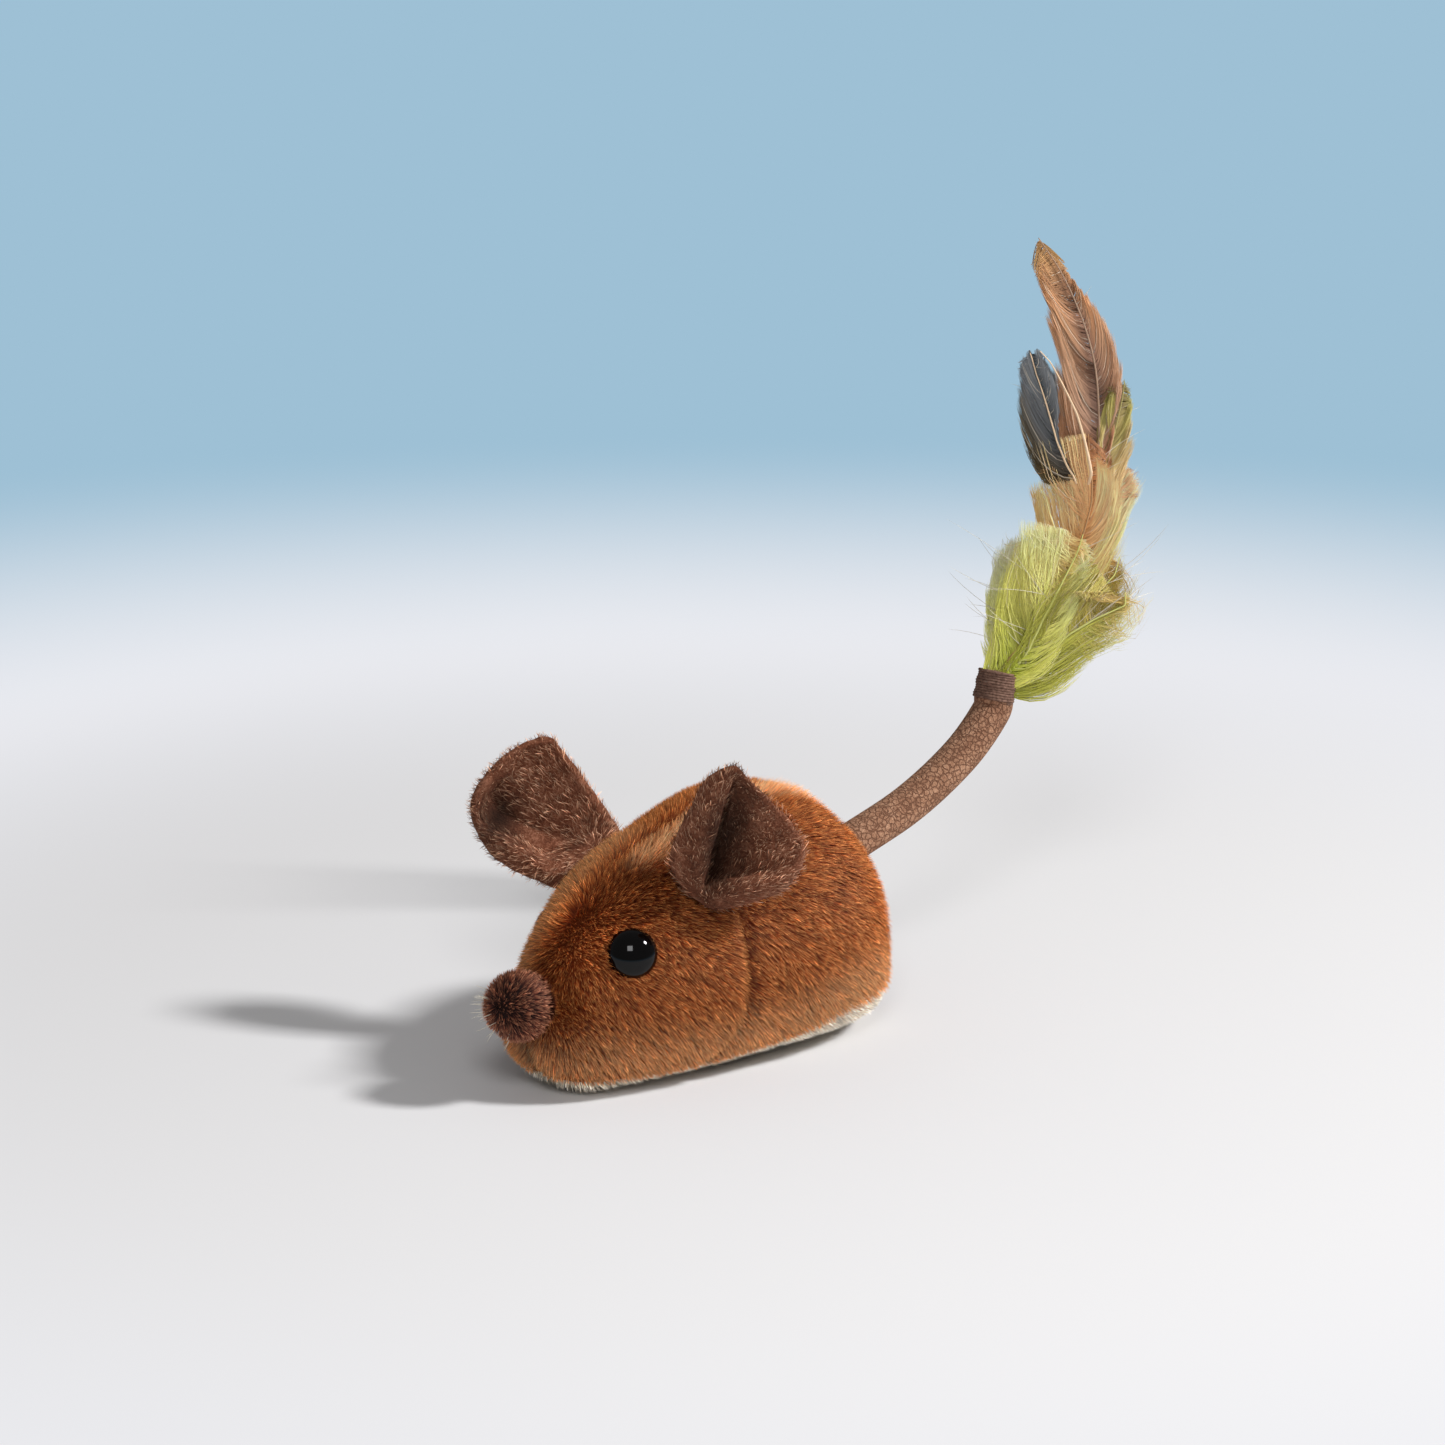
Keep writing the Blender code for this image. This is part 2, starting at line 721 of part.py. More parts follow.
# Each feather: turn about the tuft in degrees, layer (0 middle, 1 inner, 2 outer), and shares of the
# tuft's length: where its blade starts and ends, the blade's width, and how far it flares out at the tip
feather_shares = (
    ("feather_brown_tip", 50.0, 0, 0.25, 1.00, 0.105, 0.0),
    ("feather_slate", 272.0, 1, 0.46, 0.84, 0.105, 0.075),
    ("feather_tan_front", 319.0, 1, 0.12, 0.66, 0.150, 0.0),
    ("feather_olive", 40.0, 1, 0.34, 0.84, 0.120, 0.070),
    ("feather_tan_back", 140.0, 1, 0.12, 0.72, 0.150, 0.0),
    ("feather_green_left", 185.0, 2, 0.04, 0.36, 0.190, 0.0),
    ("feather_green_front", 275.0, 2, 0.04, 0.38, 0.190, 0.0),
    ("feather_green_right", 5.0, 2, 0.04, 0.34, 0.190, 0.0),
    ("feather_green_back", 95.0, 2, 0.04, 0.37, 0.190, 0.0),
)

# Along a blade: its width as a share of its greatest
blade_shares = ((0.0, 0.10), (0.15, 0.62), (0.40, 1.00), (0.70, 0.88), (0.90, 0.50), (1.0, 0.12))


def feather_ring(share, turn, layer, start, end, width, flare, frame):
    """One level of a feather: an arc round the tuft's middle line, thinner at its edges."""
    back, inner, outer = row_at(tuft_shares, share)
    ring = (0, quill_ring_inner, quill_ring_outer)[layer]
    spread = ((0, inner, outer)[layer] + flare * max(share, 0) ** 2) * tuft_length + ring
    blade = row_at(blade_shares, max(0, (share - start) / (end - start)))[0] if share > start else 0
    quill = quill_diameter / 2
    half = max(quill, blade * width * tuft_length / 2)
    thick = max(quill, blade * feather_thick / 2)
    limit = radians(blade_wrap_limit)
    if layer and half / spread > limit:
        half = max(quill, limit * spread)
    turned_frame = frame.to_3x3()
    axis = turned_frame @ Vector((0, 0, 1))
    base = frame.translation + axis * (binding_length + min(share, 0) * tuft_length)
    if share > 0:
        base += Vector((0, back, share)) * tuft_length
    points = []
    for face in (1, -1):
        for i in range(feather_columns + 1):
            across = face * (2 * i / feather_columns - 1)
            depth = face * thick * max(blade_edge_share, 1 - across**2)
            if layer:
                angle = turn + across * half / spread
                offset = Vector((cos(angle), sin(angle), 0)) * (spread + depth)
            else:
                offset = Vector((cos(turn), sin(turn), 0)) * -across * half
                offset += Vector((sin(turn), -cos(turn), 0)) * depth
            points.append(base + (turned_frame @ offset if share <= 0 else offset))
    return points


def make_feathers(parent, looks, frame):
    inside = -(quill_depth() - fit_gap) / tuft_length
    steps = [i / (feather_stations - 1) for i in range(feather_stations)]
    for name, turn, layer, start, end, width, flare in feather_shares:
        shares = {inside, 0.0} | {start + (end - start) * step for step in steps}
        rings = []
        for share in sorted(shares):
            rings.append(feather_ring(share, radians(turn), layer, start, end, width, flare, frame))
        key = name.split("_")[1]
        make_object(name, loft(name, rings), looks[key], parent)


def unit_frame(x=0.0, y=0.0, z=0.0):
    """A place in the sound unit's own frame: X and Y from its middle, Z from its floor."""
    return Matrix.Translation((x, unit_y + y, unit_floor + z))


def unit_box(name, low, high):
    return box(name, low, high, unit_frame())


def unit_rod(name, radius, x, y, low, high, sides=round_sides):
    return rod(name, radius, low, high, unit_frame(x, y), sides)


def bay_size():
    """Room for the row of cells, their spring and their end plate."""
    ends = spring_free + spring_wire + 4 * fit_gap
    return cell_diameter + 2 * fit_gap, cell_count * (cell_thick + fit_gap) + ends


def bay_middle():
    return -unit_length / 2 + unit_wall + bay_wall + bay_size()[1] / 2


def cell_low():
    return door_thick + fit_gap


def bay_top():
    return cell_low() + cell_diameter + fit_gap


def split_height():
    return unit_height * unit_split_share


def boss_radius():
    return screw_head_diameter / 2 + fit_gap + boss_wall


def case_screw_places():
    x = unit_width / 2 - unit_wall - boss_radius() + boss_wall / 2
    y = unit_length / 2 - unit_wall - boss_radius() + boss_wall / 2
    return (("left", x, y), ("right", -x, y))


def case_screw_seat():
    return split_height() - screw_grip - screw_head_thick


def door_screw_y():
    return bay_middle() + bay_size()[1] / 2 + bay_wall + screw_diameter / 2 + fit_gap + boss_wall / 2


def door_span():
    """The door's lowest and highest X and Y, from the unit's middle."""
    bay_x, bay_y = bay_size()
    front = bay_middle() - bay_y / 2 - door_overlap
    rear = door_screw_y() + screw_head_diameter / 2 + door_overlap
    return bay_x / 2 + door_overlap, front, rear


def side_room_x():
    """Middle of the room between the cell bay's wall and the case's wall."""
    return (bay_size()[0] / 2 + bay_wall + unit_width / 2 - unit_wall) / 2


def make_case(parent, look):
    """The two case halves, with the cell bay and its door opening in the lower one."""
    x = unit_width / 2
    y = unit_length / 2
    split = split_height()
    mesh = unit_box("case_lower", (-x, -y, 0), (x, y, split - fit_gap / 2))
    lower = make_object("case_lower", mesh, look, parent, smooth=False)
    mesh = unit_box("case_upper", (-x, -y, split + fit_gap / 2), (x, y, unit_height))
    upper = make_object("case_upper", mesh, look, parent, smooth=False)
    x -= unit_wall
    y -= unit_wall
    cut(lower, tool(unit_box("lower_hollow", (-x, -y, unit_base), (x, y, big))))
    cut(upper, tool(unit_box("upper_hollow", (-x, -y, -big), (x, y, unit_height - unit_wall))))
    cut_bay(lower)
    cut_door_place(lower)
    for name, x, y in case_screw_places():
        add_case_bosses(lower, upper, name, x, y)
    for i in range(sound_hole_count + 1):
        turn = 2 * pi * i / sound_hole_count
        ring = sound_hole_ring if i < sound_hole_count else 0
        x, y = ring * cos(turn), ring * sin(turn)
        radius = sound_hole_diameter / 2
        cut(upper, tool(unit_rod("sound_hole_" + str(i), radius, x, y, split, big, sound_hole_sides)))
    x = knob_width / 2 + fit_gap
    y = knob_length / 2 + fit_gap
    low = (side_room_x() - x, -y, -overrun)
    high = (side_room_x() + x, y + knob_travel, unit_base + fit_gap)
    cut(lower, tool(unit_box("switch_slot", low, high)))


def cut_bay(lower):
    bay_x, bay_y = bay_size()
    x = bay_x / 2
    front = bay_middle() - bay_y / 2
    rear = bay_middle() + bay_y / 2
    low = (-x - bay_wall, front - bay_wall, unit_base / 2)
    high = (x + bay_wall, rear + bay_wall, bay_top())
    join(lower, tool(unit_box("bay_walls", low, high)))
    cut(lower, tool(unit_box("bay_room", (-x, front, -overrun), (x, rear, big))))


def cut_door_place(lower):
    x, front, rear = door_span()
    low = (-x - fit_gap, front - fit_gap, -overrun)
    high = (x + fit_gap, rear + fit_gap, door_thick + fit_gap)
    post = screw_diameter / 2 + fit_gap + boss_wall
    top = door_screw_reach() + fit_gap + boss_wall
    join(lower, tool(unit_rod("door_post", post, 0, door_screw_y(), unit_base / 2, top)))
    cut(lower, tool(unit_box("door_recess", low, high)))
    radius = screw_diameter / 2 + fit_gap
    bore = unit_rod("door_screw_bore", radius, 0, door_screw_y(), -overrun, door_screw_reach() + fit_gap)
    cut(lower, tool(bore))


def door_screw_reach():
    return screw_length - fit_gap - screw_head_thick


def add_case_bosses(lower, upper, name, x, y):
    split = split_height()
    top = unit_height - unit_wall / 2
    join(upper, tool(unit_rod("boss_" + name, boss_radius(), x, y, split + fit_gap / 2, top)))
    join(lower, tool(unit_rod("post_" + name, boss_radius(), x, y, unit_base / 2, split - fit_gap / 2)))
    bore = screw_diameter / 2 + fit_gap
    head = screw_head_diameter / 2 + fit_gap
    depth = case_screw_seat() + screw_length + fit_gap
    cut(upper, tool(unit_rod("upper_bore_" + name, bore, x, y, -overrun, depth)))
    cut(lower, tool(unit_rod("lower_bore_" + name, bore, x, y, -overrun, split + overrun)))
    seat = case_screw_seat() + screw_head_thick + fit_gap
    cut(lower, tool(unit_rod("head_room_" + name, head, x, y, -overrun, seat)))


def make_door(parent, look):
    """The battery door, flush with the case's floor."""
    x, front, rear = door_span()
    mesh = unit_box("battery_door", (-x, front, 0), (x, rear, door_thick))
    door = make_object("battery_door", mesh, look, parent, smooth=False)
    radius = screw_diameter / 2 + fit_gap
    cut(door, tool(unit_rod("door_hole", radius, 0, door_screw_y(), -overrun, overrun)))


def make_screw(name, x, y, low, parent, look):
    """A cross-recess screw standing head down."""
    head = screw_head_diameter / 2
    shaft = screw_diameter / 2
    point = shaft / 2
    profile = [(0, 0), (head, 0), (head, screw_head_thick), (shaft, screw_head_thick)]
    profile += [(shaft, screw_length - point), (point, screw_length), (0, screw_length)]
    mesh = turned(name, profile, screw_sides, unit_frame(x, y, low))
    screw = make_object(name, mesh, look, parent)
    short = screw_head_diameter / 8
    long = screw_head_diameter * screw_slot_share
    centre = (x, unit_y + y, unit_floor + low)
    for i, size in enumerate(((short, long, screw_head_thick), (long, short, screw_head_thick))):
        cut(screw, tool(box_at(name + "_slot_" + str(i), centre, size)))


def make_screws(parent, look):
    for name, x, y in case_screw_places():
        make_screw("case_screw_" + name, x, y, case_screw_seat(), parent, look)
    make_screw("door_screw", 0, door_screw_y(), -fit_gap - screw_head_thick, parent, look)


def cells_end():
    """The rear face of the row of cells."""
    return bay_middle() + bay_size()[1] / 2 - 2 * fit_gap - spring_wire


def cell_height():
    return unit_floor + cell_low() + cell_diameter / 2


def make_cells(parent, look):
    radius = cell_diameter / 2
    rim = cell_thick / 8
    cap = radius * cell_cap_share
    profile = [(0, 0), (radius - rim, 0), (radius, rim), (radius, cell_thick - rim)]
    profile += [(cap, cell_thick - rim), (cap, cell_thick), (0, cell_thick)]
    for i in range(cell_count):
        rear = unit_y + cells_end() - i * (cell_thick + fit_gap)
        name = "button_cell_" + str(i + 1)
        mesh = turned(name, profile, round_sides, aim((0, rear, cell_height()), (0, -1, 0)))
        make_object(name, mesh, look, parent)


def make_contacts(parent, look):
    """The flat contact at one end of the cells and the coil spring at the other."""
    bay_x, bay_y = bay_size()
    rear = unit_y + bay_middle() + bay_y / 2 - fit_gap
    size = (cell_diameter / 2, spring_wire, cell_diameter / 2)
    centre = (0, rear - spring_wire / 2, cell_height())
    make_object("contact_plate", box_at("contact_plate", centre, size), look, parent, smooth=False)
    front = unit_y + bay_middle() - bay_y / 2 + fit_gap + spring_wire / 2
    cells = unit_y + cells_end() - cell_count * (cell_thick + fit_gap)
    back = cells - spring_wire / 2
    count = spring_turns * spring_points
    points = []
    for i in range(count + 1):
        share = i / count
        radius = cell_diameter * (spring_wide_share - spring_taper_share * share)
        turn = 2 * pi * share * spring_turns
        y = front + share * (back - front)
        points.append((radius * cos(turn), y, cell_height() + radius * sin(turn)))
    wire("contact_spring", points, spring_wire, look, parent)


def wire(name, points, diameter, look, parent):
    """A round wire through these points."""
    curve = bpy.data.curves.new(name, "CURVE")
    curve.dimensions = "3D"
    curve.bevel_depth = diameter / 2
    curve.bevel_resolution = 1
    curve.use_fill_caps = True
    curve.materials.append(look)
    spline = curve.splines.new("POLY")
    spline.points.add(len(points) - 1)
    for target, point in zip(spline.points, points):
        target.co = (*point, 1)
    link(bpy.data.objects.new(name, curve), parent)


def board_low():
    return bay_top() + fit_gap


def make_board(parent, look):
    x = unit_width / 2 - unit_wall - fit_gap
    y = unit_length / 2 - unit_wall - fit_gap
    mesh = unit_box("circuit_board", (-x, -y, board_low()), (x, y, board_low() + board_thick))
    board = make_object("circuit_board", mesh, look, parent, smooth=False)
    room = boss_radius() + fit_gap
    for name, x, y in case_screw_places():
        low = (x - room if x > 0 else -big, y - room, 0)
        high = (big if x > 0 else x + room, big, big)
        cut(board, tool(unit_box("board_notch_" + name, low, high)))


def make_sounder(parent, black, brass, leads):
    """Chip, piezo disc under the sound holes, and its two leads."""
    top = board_low() + board_thick
    turns = [pi / 2 * i / 4 for i in range(5)]
    profile = [(0, 0)] + [(blob_diameter / 2 * cos(a), blob_height * sin(a)) for a in turns[:-1]]
    profile += [(0, blob_height)]
    frame = unit_frame(0, -unit_length / 4, top + fit_gap)
    make_object("chip_blob", turned("chip_blob", profile, round_sides, frame), black, parent)
    disc_top = unit_height - unit_wall - fit_gap
    disc_low = disc_top - piezo_thick
    disc = unit_rod("piezo_disc", piezo_diameter / 2, 0, 0, disc_low, disc_top)
    make_object("piezo_disc", disc, brass, parent)
    start = unit_floor + top + fit_gap + lead_diameter / 2
    end = unit_floor + disc_low - fit_gap - lead_diameter / 2
    inner = piezo_diameter * lead_inner_share
    outer = unit_width / 2 - unit_wall - fit_gap - lead_diameter
    for name, sign in (("red", 1), ("black", -1)):
        points = []
        for i in range(lead_points + 1):
            share = i / lead_points
            rise = share * share * (3 - 2 * share)
            x = sign * (outer + (inner - outer) * share)
            points.append((x, unit_y + piezo_diameter / 4 * share, start + (end - start) * rise))
        wire("piezo_lead_" + name, points, lead_diameter, leads[name], parent)


def make_sensor(parent, look):
    """The motion sensor: a can hanging from the board, with a loose ball in it."""
    x = -side_room_x()
    y = -unit_length / 4
    top = board_low() - fit_gap
    low = top - sensor_height
    can = make_object("sensor_can", unit_rod("sensor_can", sensor_diameter / 2, x, y, low, top), look, parent)
    inside = sensor_diameter / 2 - sensor_wall
    cut(can, tool(unit_rod("sensor_room", inside, x, y, low + sensor_wall, top + overrun)))
    radius = sensor_ball_diameter / 2
    centre = Vector((x, unit_y + y, unit_floor + low + sensor_wall + fit_gap + radius))
    rest = empty("sensor_ball_rest", Matrix.Translation(centre), parent)
    make_object("sensor_ball", ball("sensor_ball", radius, (0, 0, 0), 12), look, rest)


def make_switch(parent, black, steel):
    """The slide switch, whose knob comes through the case's floor."""
    x = side_room_x()
    low = unit_base + fit_gap
    half_x = switch_width / 2
    middle = knob_travel / 2
    corner = (x - half_x, middle - switch_length / 2, low)
    far = (x + half_x, middle + switch_length / 2, low + switch_height)
    body = make_object("switch_body", unit_box("switch_body", corner, far), steel, parent, smooth=False)
    room_x = knob_width / 2 + fit_gap
    room_y = knob_length / 2 + fit_gap
    top = low + switch_height / 2
    room = unit_box("knob_room", (x - room_x, -room_y, 0), (x + room_x, room_y + knob_travel, top + fit_gap))
    cut(body, tool(room))
    rest = empty("switch_knob_rest", unit_frame(x), parent)
    corner = (-knob_width / 2, -knob_length / 2, -knob_stand)
    far = (knob_width / 2, knob_length / 2, top)
    make_object("switch_knob", box("switch_knob", corner, far), black, rest, smooth=False)


def make_toy():
    clear_scene()
    toy = bpy.data.objects.new("toy", None)
    bpy.context.scene.collection.objects.link(toy)
    toy.location = (body_x, body_y, 0)
    cover = material("plush_brown", (0.30, 0.09, 0.02), 0.9)
    belly = material("plush_cream", (0.58, 0.53, 0.42), 0.9)
    stuffing = material("fibre_filling", (0.8, 0.8, 0.78), 0.95)
    suede = material("suede_brown", (0.16, 0.08, 0.05), 0.85)
    suede_dark = material("suede_dark", (0.10, 0.05, 0.03), 0.85)
    nose_look = material("nose_plush", (0.05, 0.015, 0.01), 0.95)
    black = material("black_bead", (0.005, 0.005, 0.005), 0.08)
    fastener = material("fastener_strip", (0.6, 0.57, 0.5), 0.8)
    thread = material("binding_thread", (0.13, 0.08, 0.05), 0.7)
    casing = material("case_plastic", (0.75, 0.75, 0.72), 0.45)
    steel = material("bright_steel", (0.6, 0.6, 0.6), 0.3, 1.0)
    brass = material("brass_sheet", (0.7, 0.5, 0.2), 0.35, 1.0)
    board = material("board_green", (0.02, 0.16, 0.06), 0.5)
    red = material("lead_red", (0.5, 0.02, 0.02), 0.5)
    feathers = {
        "brown": material("feather_brown", (0.28, 0.14, 0.08), 0.6),
        "tan": material("feather_tan", (0.60, 0.38, 0.20), 0.6),
        "slate": material("feather_slate", (0.06, 0.07, 0.08), 0.5),
        "olive": material("feather_olive", (0.35, 0.38, 0.08), 0.6),
        "green": material("feather_green", (0.38, 0.50, 0.05), 0.7),
    }

    frames = eye_frames()
    holes, rooms = eye_cutters(frames)
    root_room = ear_root_diameter / 2 + fit_gap
    sockets = {
        "ear_left": tool(ball("ear_socket_left", root_room, ear_frame("left").translation)),
        "ear_right": tool(ball("ear_socket_right", root_room, ear_frame("right").translation)),
        "tail": tool(ball("tail_socket", tail_cup_radius, tail_points()[0][0])),
    }
    make_cover(toy, cover, belly, sockets, holes)
    make_filling(toy, stuffing, sockets, rooms)
    make_flap(toy, belly, fastener)
    make_eyes(toy, black, steel, frames)
    make_nose(toy, nose_look)
    make_ears(toy, suede, suede_dark)
    frame = make_tail(toy, suede, stuffing, thread)
    make_feathers(toy, feathers, frame)
    make_case(toy, casing)
    make_door(toy, casing)
    make_screws(toy, steel)
    make_cells(toy, steel)
    make_contacts(toy, brass)
    make_board(toy, board)
    make_sounder(toy, black, brass, {"red": red, "black": black})
    make_sensor(toy, steel)
    make_switch(toy, black, steel)


make_toy()
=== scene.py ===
"""The looks of the plush mouse cat toy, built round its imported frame."""

from math import asin, cos, pi, radians, sin, sqrt

import bmesh
import bpy
import numpy as np
from mathutils import Matrix, Vector, kdtree
from mathutils.noise import noise as noise_value


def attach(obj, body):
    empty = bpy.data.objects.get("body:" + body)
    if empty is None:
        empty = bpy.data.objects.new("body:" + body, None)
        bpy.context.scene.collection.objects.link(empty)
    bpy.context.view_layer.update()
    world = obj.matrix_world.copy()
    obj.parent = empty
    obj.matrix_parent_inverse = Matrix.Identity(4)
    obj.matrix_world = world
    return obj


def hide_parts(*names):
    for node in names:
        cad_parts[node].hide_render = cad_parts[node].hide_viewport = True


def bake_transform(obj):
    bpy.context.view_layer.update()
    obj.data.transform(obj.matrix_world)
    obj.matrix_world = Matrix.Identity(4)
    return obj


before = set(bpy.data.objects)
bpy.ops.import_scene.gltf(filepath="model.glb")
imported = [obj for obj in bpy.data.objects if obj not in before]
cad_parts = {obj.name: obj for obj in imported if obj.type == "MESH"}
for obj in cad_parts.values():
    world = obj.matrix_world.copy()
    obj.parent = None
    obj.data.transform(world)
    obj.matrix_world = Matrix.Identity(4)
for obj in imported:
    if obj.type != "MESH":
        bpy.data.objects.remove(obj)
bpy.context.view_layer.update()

# The view, in metres and degrees
view_azimuth = 47.0
view_elevation = 18.5
view_distance = 0.800
view_target = Vector((0.0, -0.0325, 0.020))
view_aim_right = 0.00563
view_aim_up = 0.0428
lens_width_share = 102.2 / 36

# The body and its cover, as in the solids
body_length = 0.0815
body_width = 0.051
body_height = 0.050
body_place = Vector((0.0018, -0.0334, 0))
rest_cut = 0.0011
head_length = 0.02875
belly_seam_front = 0.0036
belly_seam_rear = 0.0058
upper_power_share = 2.2
lower_power_share = 3.6
widest_share = 0.40
section_shares = (
    (0.00, 0.22, 0.470, 0.270),
    (0.03, 0.41, 0.575, 0.130),
    (0.08, 0.54, 0.660, 0.010),
    (0.15, 0.66, 0.750, -0.001),
    (0.23, 0.76, 0.825, -0.001),
    (0.31, 0.83, 0.880, -0.001),
    (0.40, 0.88, 0.920, -0.001),
    (0.50, 0.93, 0.965, -0.001),
    (0.60, 0.98, 1.000, -0.001),
    (0.70, 1.00, 1.000, -0.001),
    (0.79, 0.97, 0.950, -0.001),
    (0.87, 0.88, 0.860, -0.001),
    (0.93, 0.74, 0.760, 0.020),
    (0.975, 0.53, 0.650, 0.090),
    (1.00, 0.30, 0.550, 0.190),
)

# Eyes, nose, ears and tail, as in the solids
fit_gap = 0.0003
eye_bulge = 0.0034
eye_sink = 0.0013
eye_inset = 0.01175
eye_height = 0.0285
nose_diameter = 0.0145
nose_tilt = 12.0
ear_height = 0.0252
ear_root_diameter = 0.0052
ear_xs = {"left": 0.0180, "right": 0.0158}
ear_neck_offsets = {"left": -0.0020, "right": -0.0005}
ear_leans = {"left": 22.0, "right": 56.0}
ear_tips = {"left": 8.0, "right": -20.0}
ear_turns = {"left": 38.0, "right": -36.0}
tail_diameter = 0.0080
tail_root_inset = 0.00005
tail_root_height = 0.0315
tail_lengths = (0.0190, 0.0165, 0.0115)
tail_slopes = (16.0, 26.0, 40.0)
binding_diameter = 0.0086
binding_length = 0.0085
binding_slope = 74.0

# Feathers, as in the solids
tuft_length = 0.0890
quill_depth_share = 0.6
quill_ring_inner = 0.0013
quill_ring_outer = 0.0022
tuft_shares = (
    (-0.06, -0.020, 0.0, 0.0),
    (0.00, 0.000, 0.0, 0.0),
    (0.03, 0.014, 0.004, 0.008),
    (0.12, 0.095, 0.030, 0.068),
    (0.25, 0.185, 0.055, 0.110),
    (0.40, 0.240, 0.070, 0.115),
    (0.55, 0.255, 0.072, 0.080),
    (0.70, 0.235, 0.070, 0.050),
    (0.85, 0.170, 0.058, 0.030),
    (1.00, 0.085, 0.040, 0.020),
)
# Each feather: its turn about the tuft, its layer, how far it flares in shares of the tuft, how far its face
# turns from the view, how much nearer the view it lies, and how much brighter it is than its kind: partly its
# own tone and partly painted light and shade, with the greens at the right darker as painted shade
feathers = {
    "brown_tip": (50.0, 0, 0.0, 6.0, 0.0016, (1, 1, 1)),
    "slate": (272.0, 1, 0.075, -22.0, 0.0, (1, 1, 1)),
    "tan_front": (319.0, 1, 0.0, -12.0, -0.0016, (1.22, 1.12, 1.02)),
    "olive": (40.0, 1, 0.070, 24.0, 0.0, (1, 1, 1)),
    "tan_back": (140.0, 1, 0.0, 18.0, 0.0, (1.25, 1.30, 1.40)),
    "green_left": (185.0, 2, 0.0, -30.0, 0.0, (1.70, 1.50, 1.80)),
    "green_front": (275.0, 2, 0.0, -8.0, 0.0, (1.42, 1.28, 1.35)),
    "green_right": (5.0, 2, 0.0, 22.0, 0.0, (0.92, 0.84, 0.62)),
    "green_back": (95.0, 2, 0.0, 34.0, 0.0060, (0.62, 0.50, 0.28)),
}

# The belly's window and flap, as in the solids
window_length = 0.0380
window_width = 0.0290
window_rear_margin = 0.01215

# Pile: how deep its cloth lies in the solid's surface, its length, width and strands for each square metre
skin_thick = 0.0008
pile_inset = 0.0016
pile_length = 0.0026
pile_width = 0.00013
pile_per_area = 1.5e7
pile_clump = 0.0006
pile_group_limit = 38000
belly_inset = 0.0021
belly_pile_length = 0.0016
belly_per_area = 5.0e6
nose_pile_length = 0.0014
nose_clump = 0.0009
groove_depth = 0.0008
middle_groove_depth = 0.0013
groove_width = 0.0011
seam_forward = 0.0026
seam_back = 0.0067
seam_low = 0.0040
seam_high = 0.0160
least_height = 0.00008
muzzle_swell = 0.0052
muzzle_width = 0.0140
muzzle_top = 0.0210
muzzle_full = 0.0110
muzzle_rear = -0.0440
muzzle_front = -0.0700
skin_stations = 110
skin_turns = 128
skin_cap_rings = 10
rump_bulge = 0.0012

# Lights, floor and backdrop
light_target = (0, -0.03, 0.02)
key_place = (1.026, 0.780, 1.208)
key_size = 0.25
key_power = 28.0
fill_place = (0.476, -0.476, 0.560)
fill_size = 0.24
fill_power = 1.6
world_light_share = 0.20
floor_size = 12.0
floor_tone = (238, 237, 238)
far_tone = (158, 192, 213)
pale_tone = (234, 235, 240)
pale_fade = (0.13, 0.32)
far_fade = (0.27, 0.58)

# The brown pile from root to tip, and the cream one
brown_tones = ((98, 34, 8), (112, 45, 12), (154, 72, 26), (234, 158, 90))
cream_tones = ((206, 190, 166), (234, 218, 194), (250, 238, 218), (254, 248, 236))
nose_tones = ((48, 15, 9), (84, 38, 25), (128, 70, 47), (212, 148, 112))
# How far the painted shade behind the neck seam reaches, which also sets the pile's length there
seam_shade_width = 0.0022
# A share of strands painted brighter as highlights on single hairs, how much brighter, and how much wider
# they are
painted_highlight_share = 0.12
painted_highlight_gain = 1.8
highlight_strand_width = 1.35
clump_shades = (0.68, 0.60)
pile_angles = ((58, 80), (24, 54))
# Painted light on the brow: how much brighter the pile is there, where it is centred and how far it reaches
painted_brow_light = 1.0
brow_place = (0.005, -0.067, 0.032)
brow_reach = 0.0085
# Painted rim light: how much brighter the pile is at the rear
painted_rear_light = 0.3
crest_rise = 0.5
crest_offset = 0.0032
crest_width = 0.0023
# Painted light: the pale tone mixed into the pile, and how much of it on the crest, near the belly and on the
# forehead
painted_light_tone = (254, 216, 160)
painted_light_shares = (1.0, 0.34, 0.26)
# Painted light: how much brighter the pile is on the crest
painted_crest_light = 1.5
# Painted light: how much brighter the pile is near the belly, and how high that reaches
painted_edge_light = 0.5
edge_height = 0.014
middle_seam_width = 0.0007
swirl_scales = ((310, 240, 170), (-190, 420, 330))
# Where the crest and its painted light fade in and out along the body, the painted pale patch on the forehead
# and the painted brighter rear
crest_ends = ((-0.057, -0.051), (0.0, -0.014))
forehead_ends = ((-0.001, -0.006), (-0.040, -0.048))
rear_ends = (-0.018, 0.0)

# Round the ears' roots and the eyes no pile grows
ear_bare_radius = 0.0014
eye_bare_radius = 0.0042

# Where brown pile ends above the cream, from the nose to the rear, in metres
pile_edge = (
    (-0.074, 0.0040), (-0.060, 0.0036), (-0.044, 0.0036), (-0.031, 0.0052), (-0.021, 0.0080),
    (-0.016, 0.0094), (0.008, 0.0102),
)

# The eyes and the nose's cloth
eye_sides = 48
eye_look_diameter = 0.0096
eye_look_sinks = {"left": 0.0005, "right": 0.0022}
eye_rows = 14
nose_sides = 40
nose_rows = 14
nose_ball_diameter = 0.0120
nose_ball_out = 0.0030

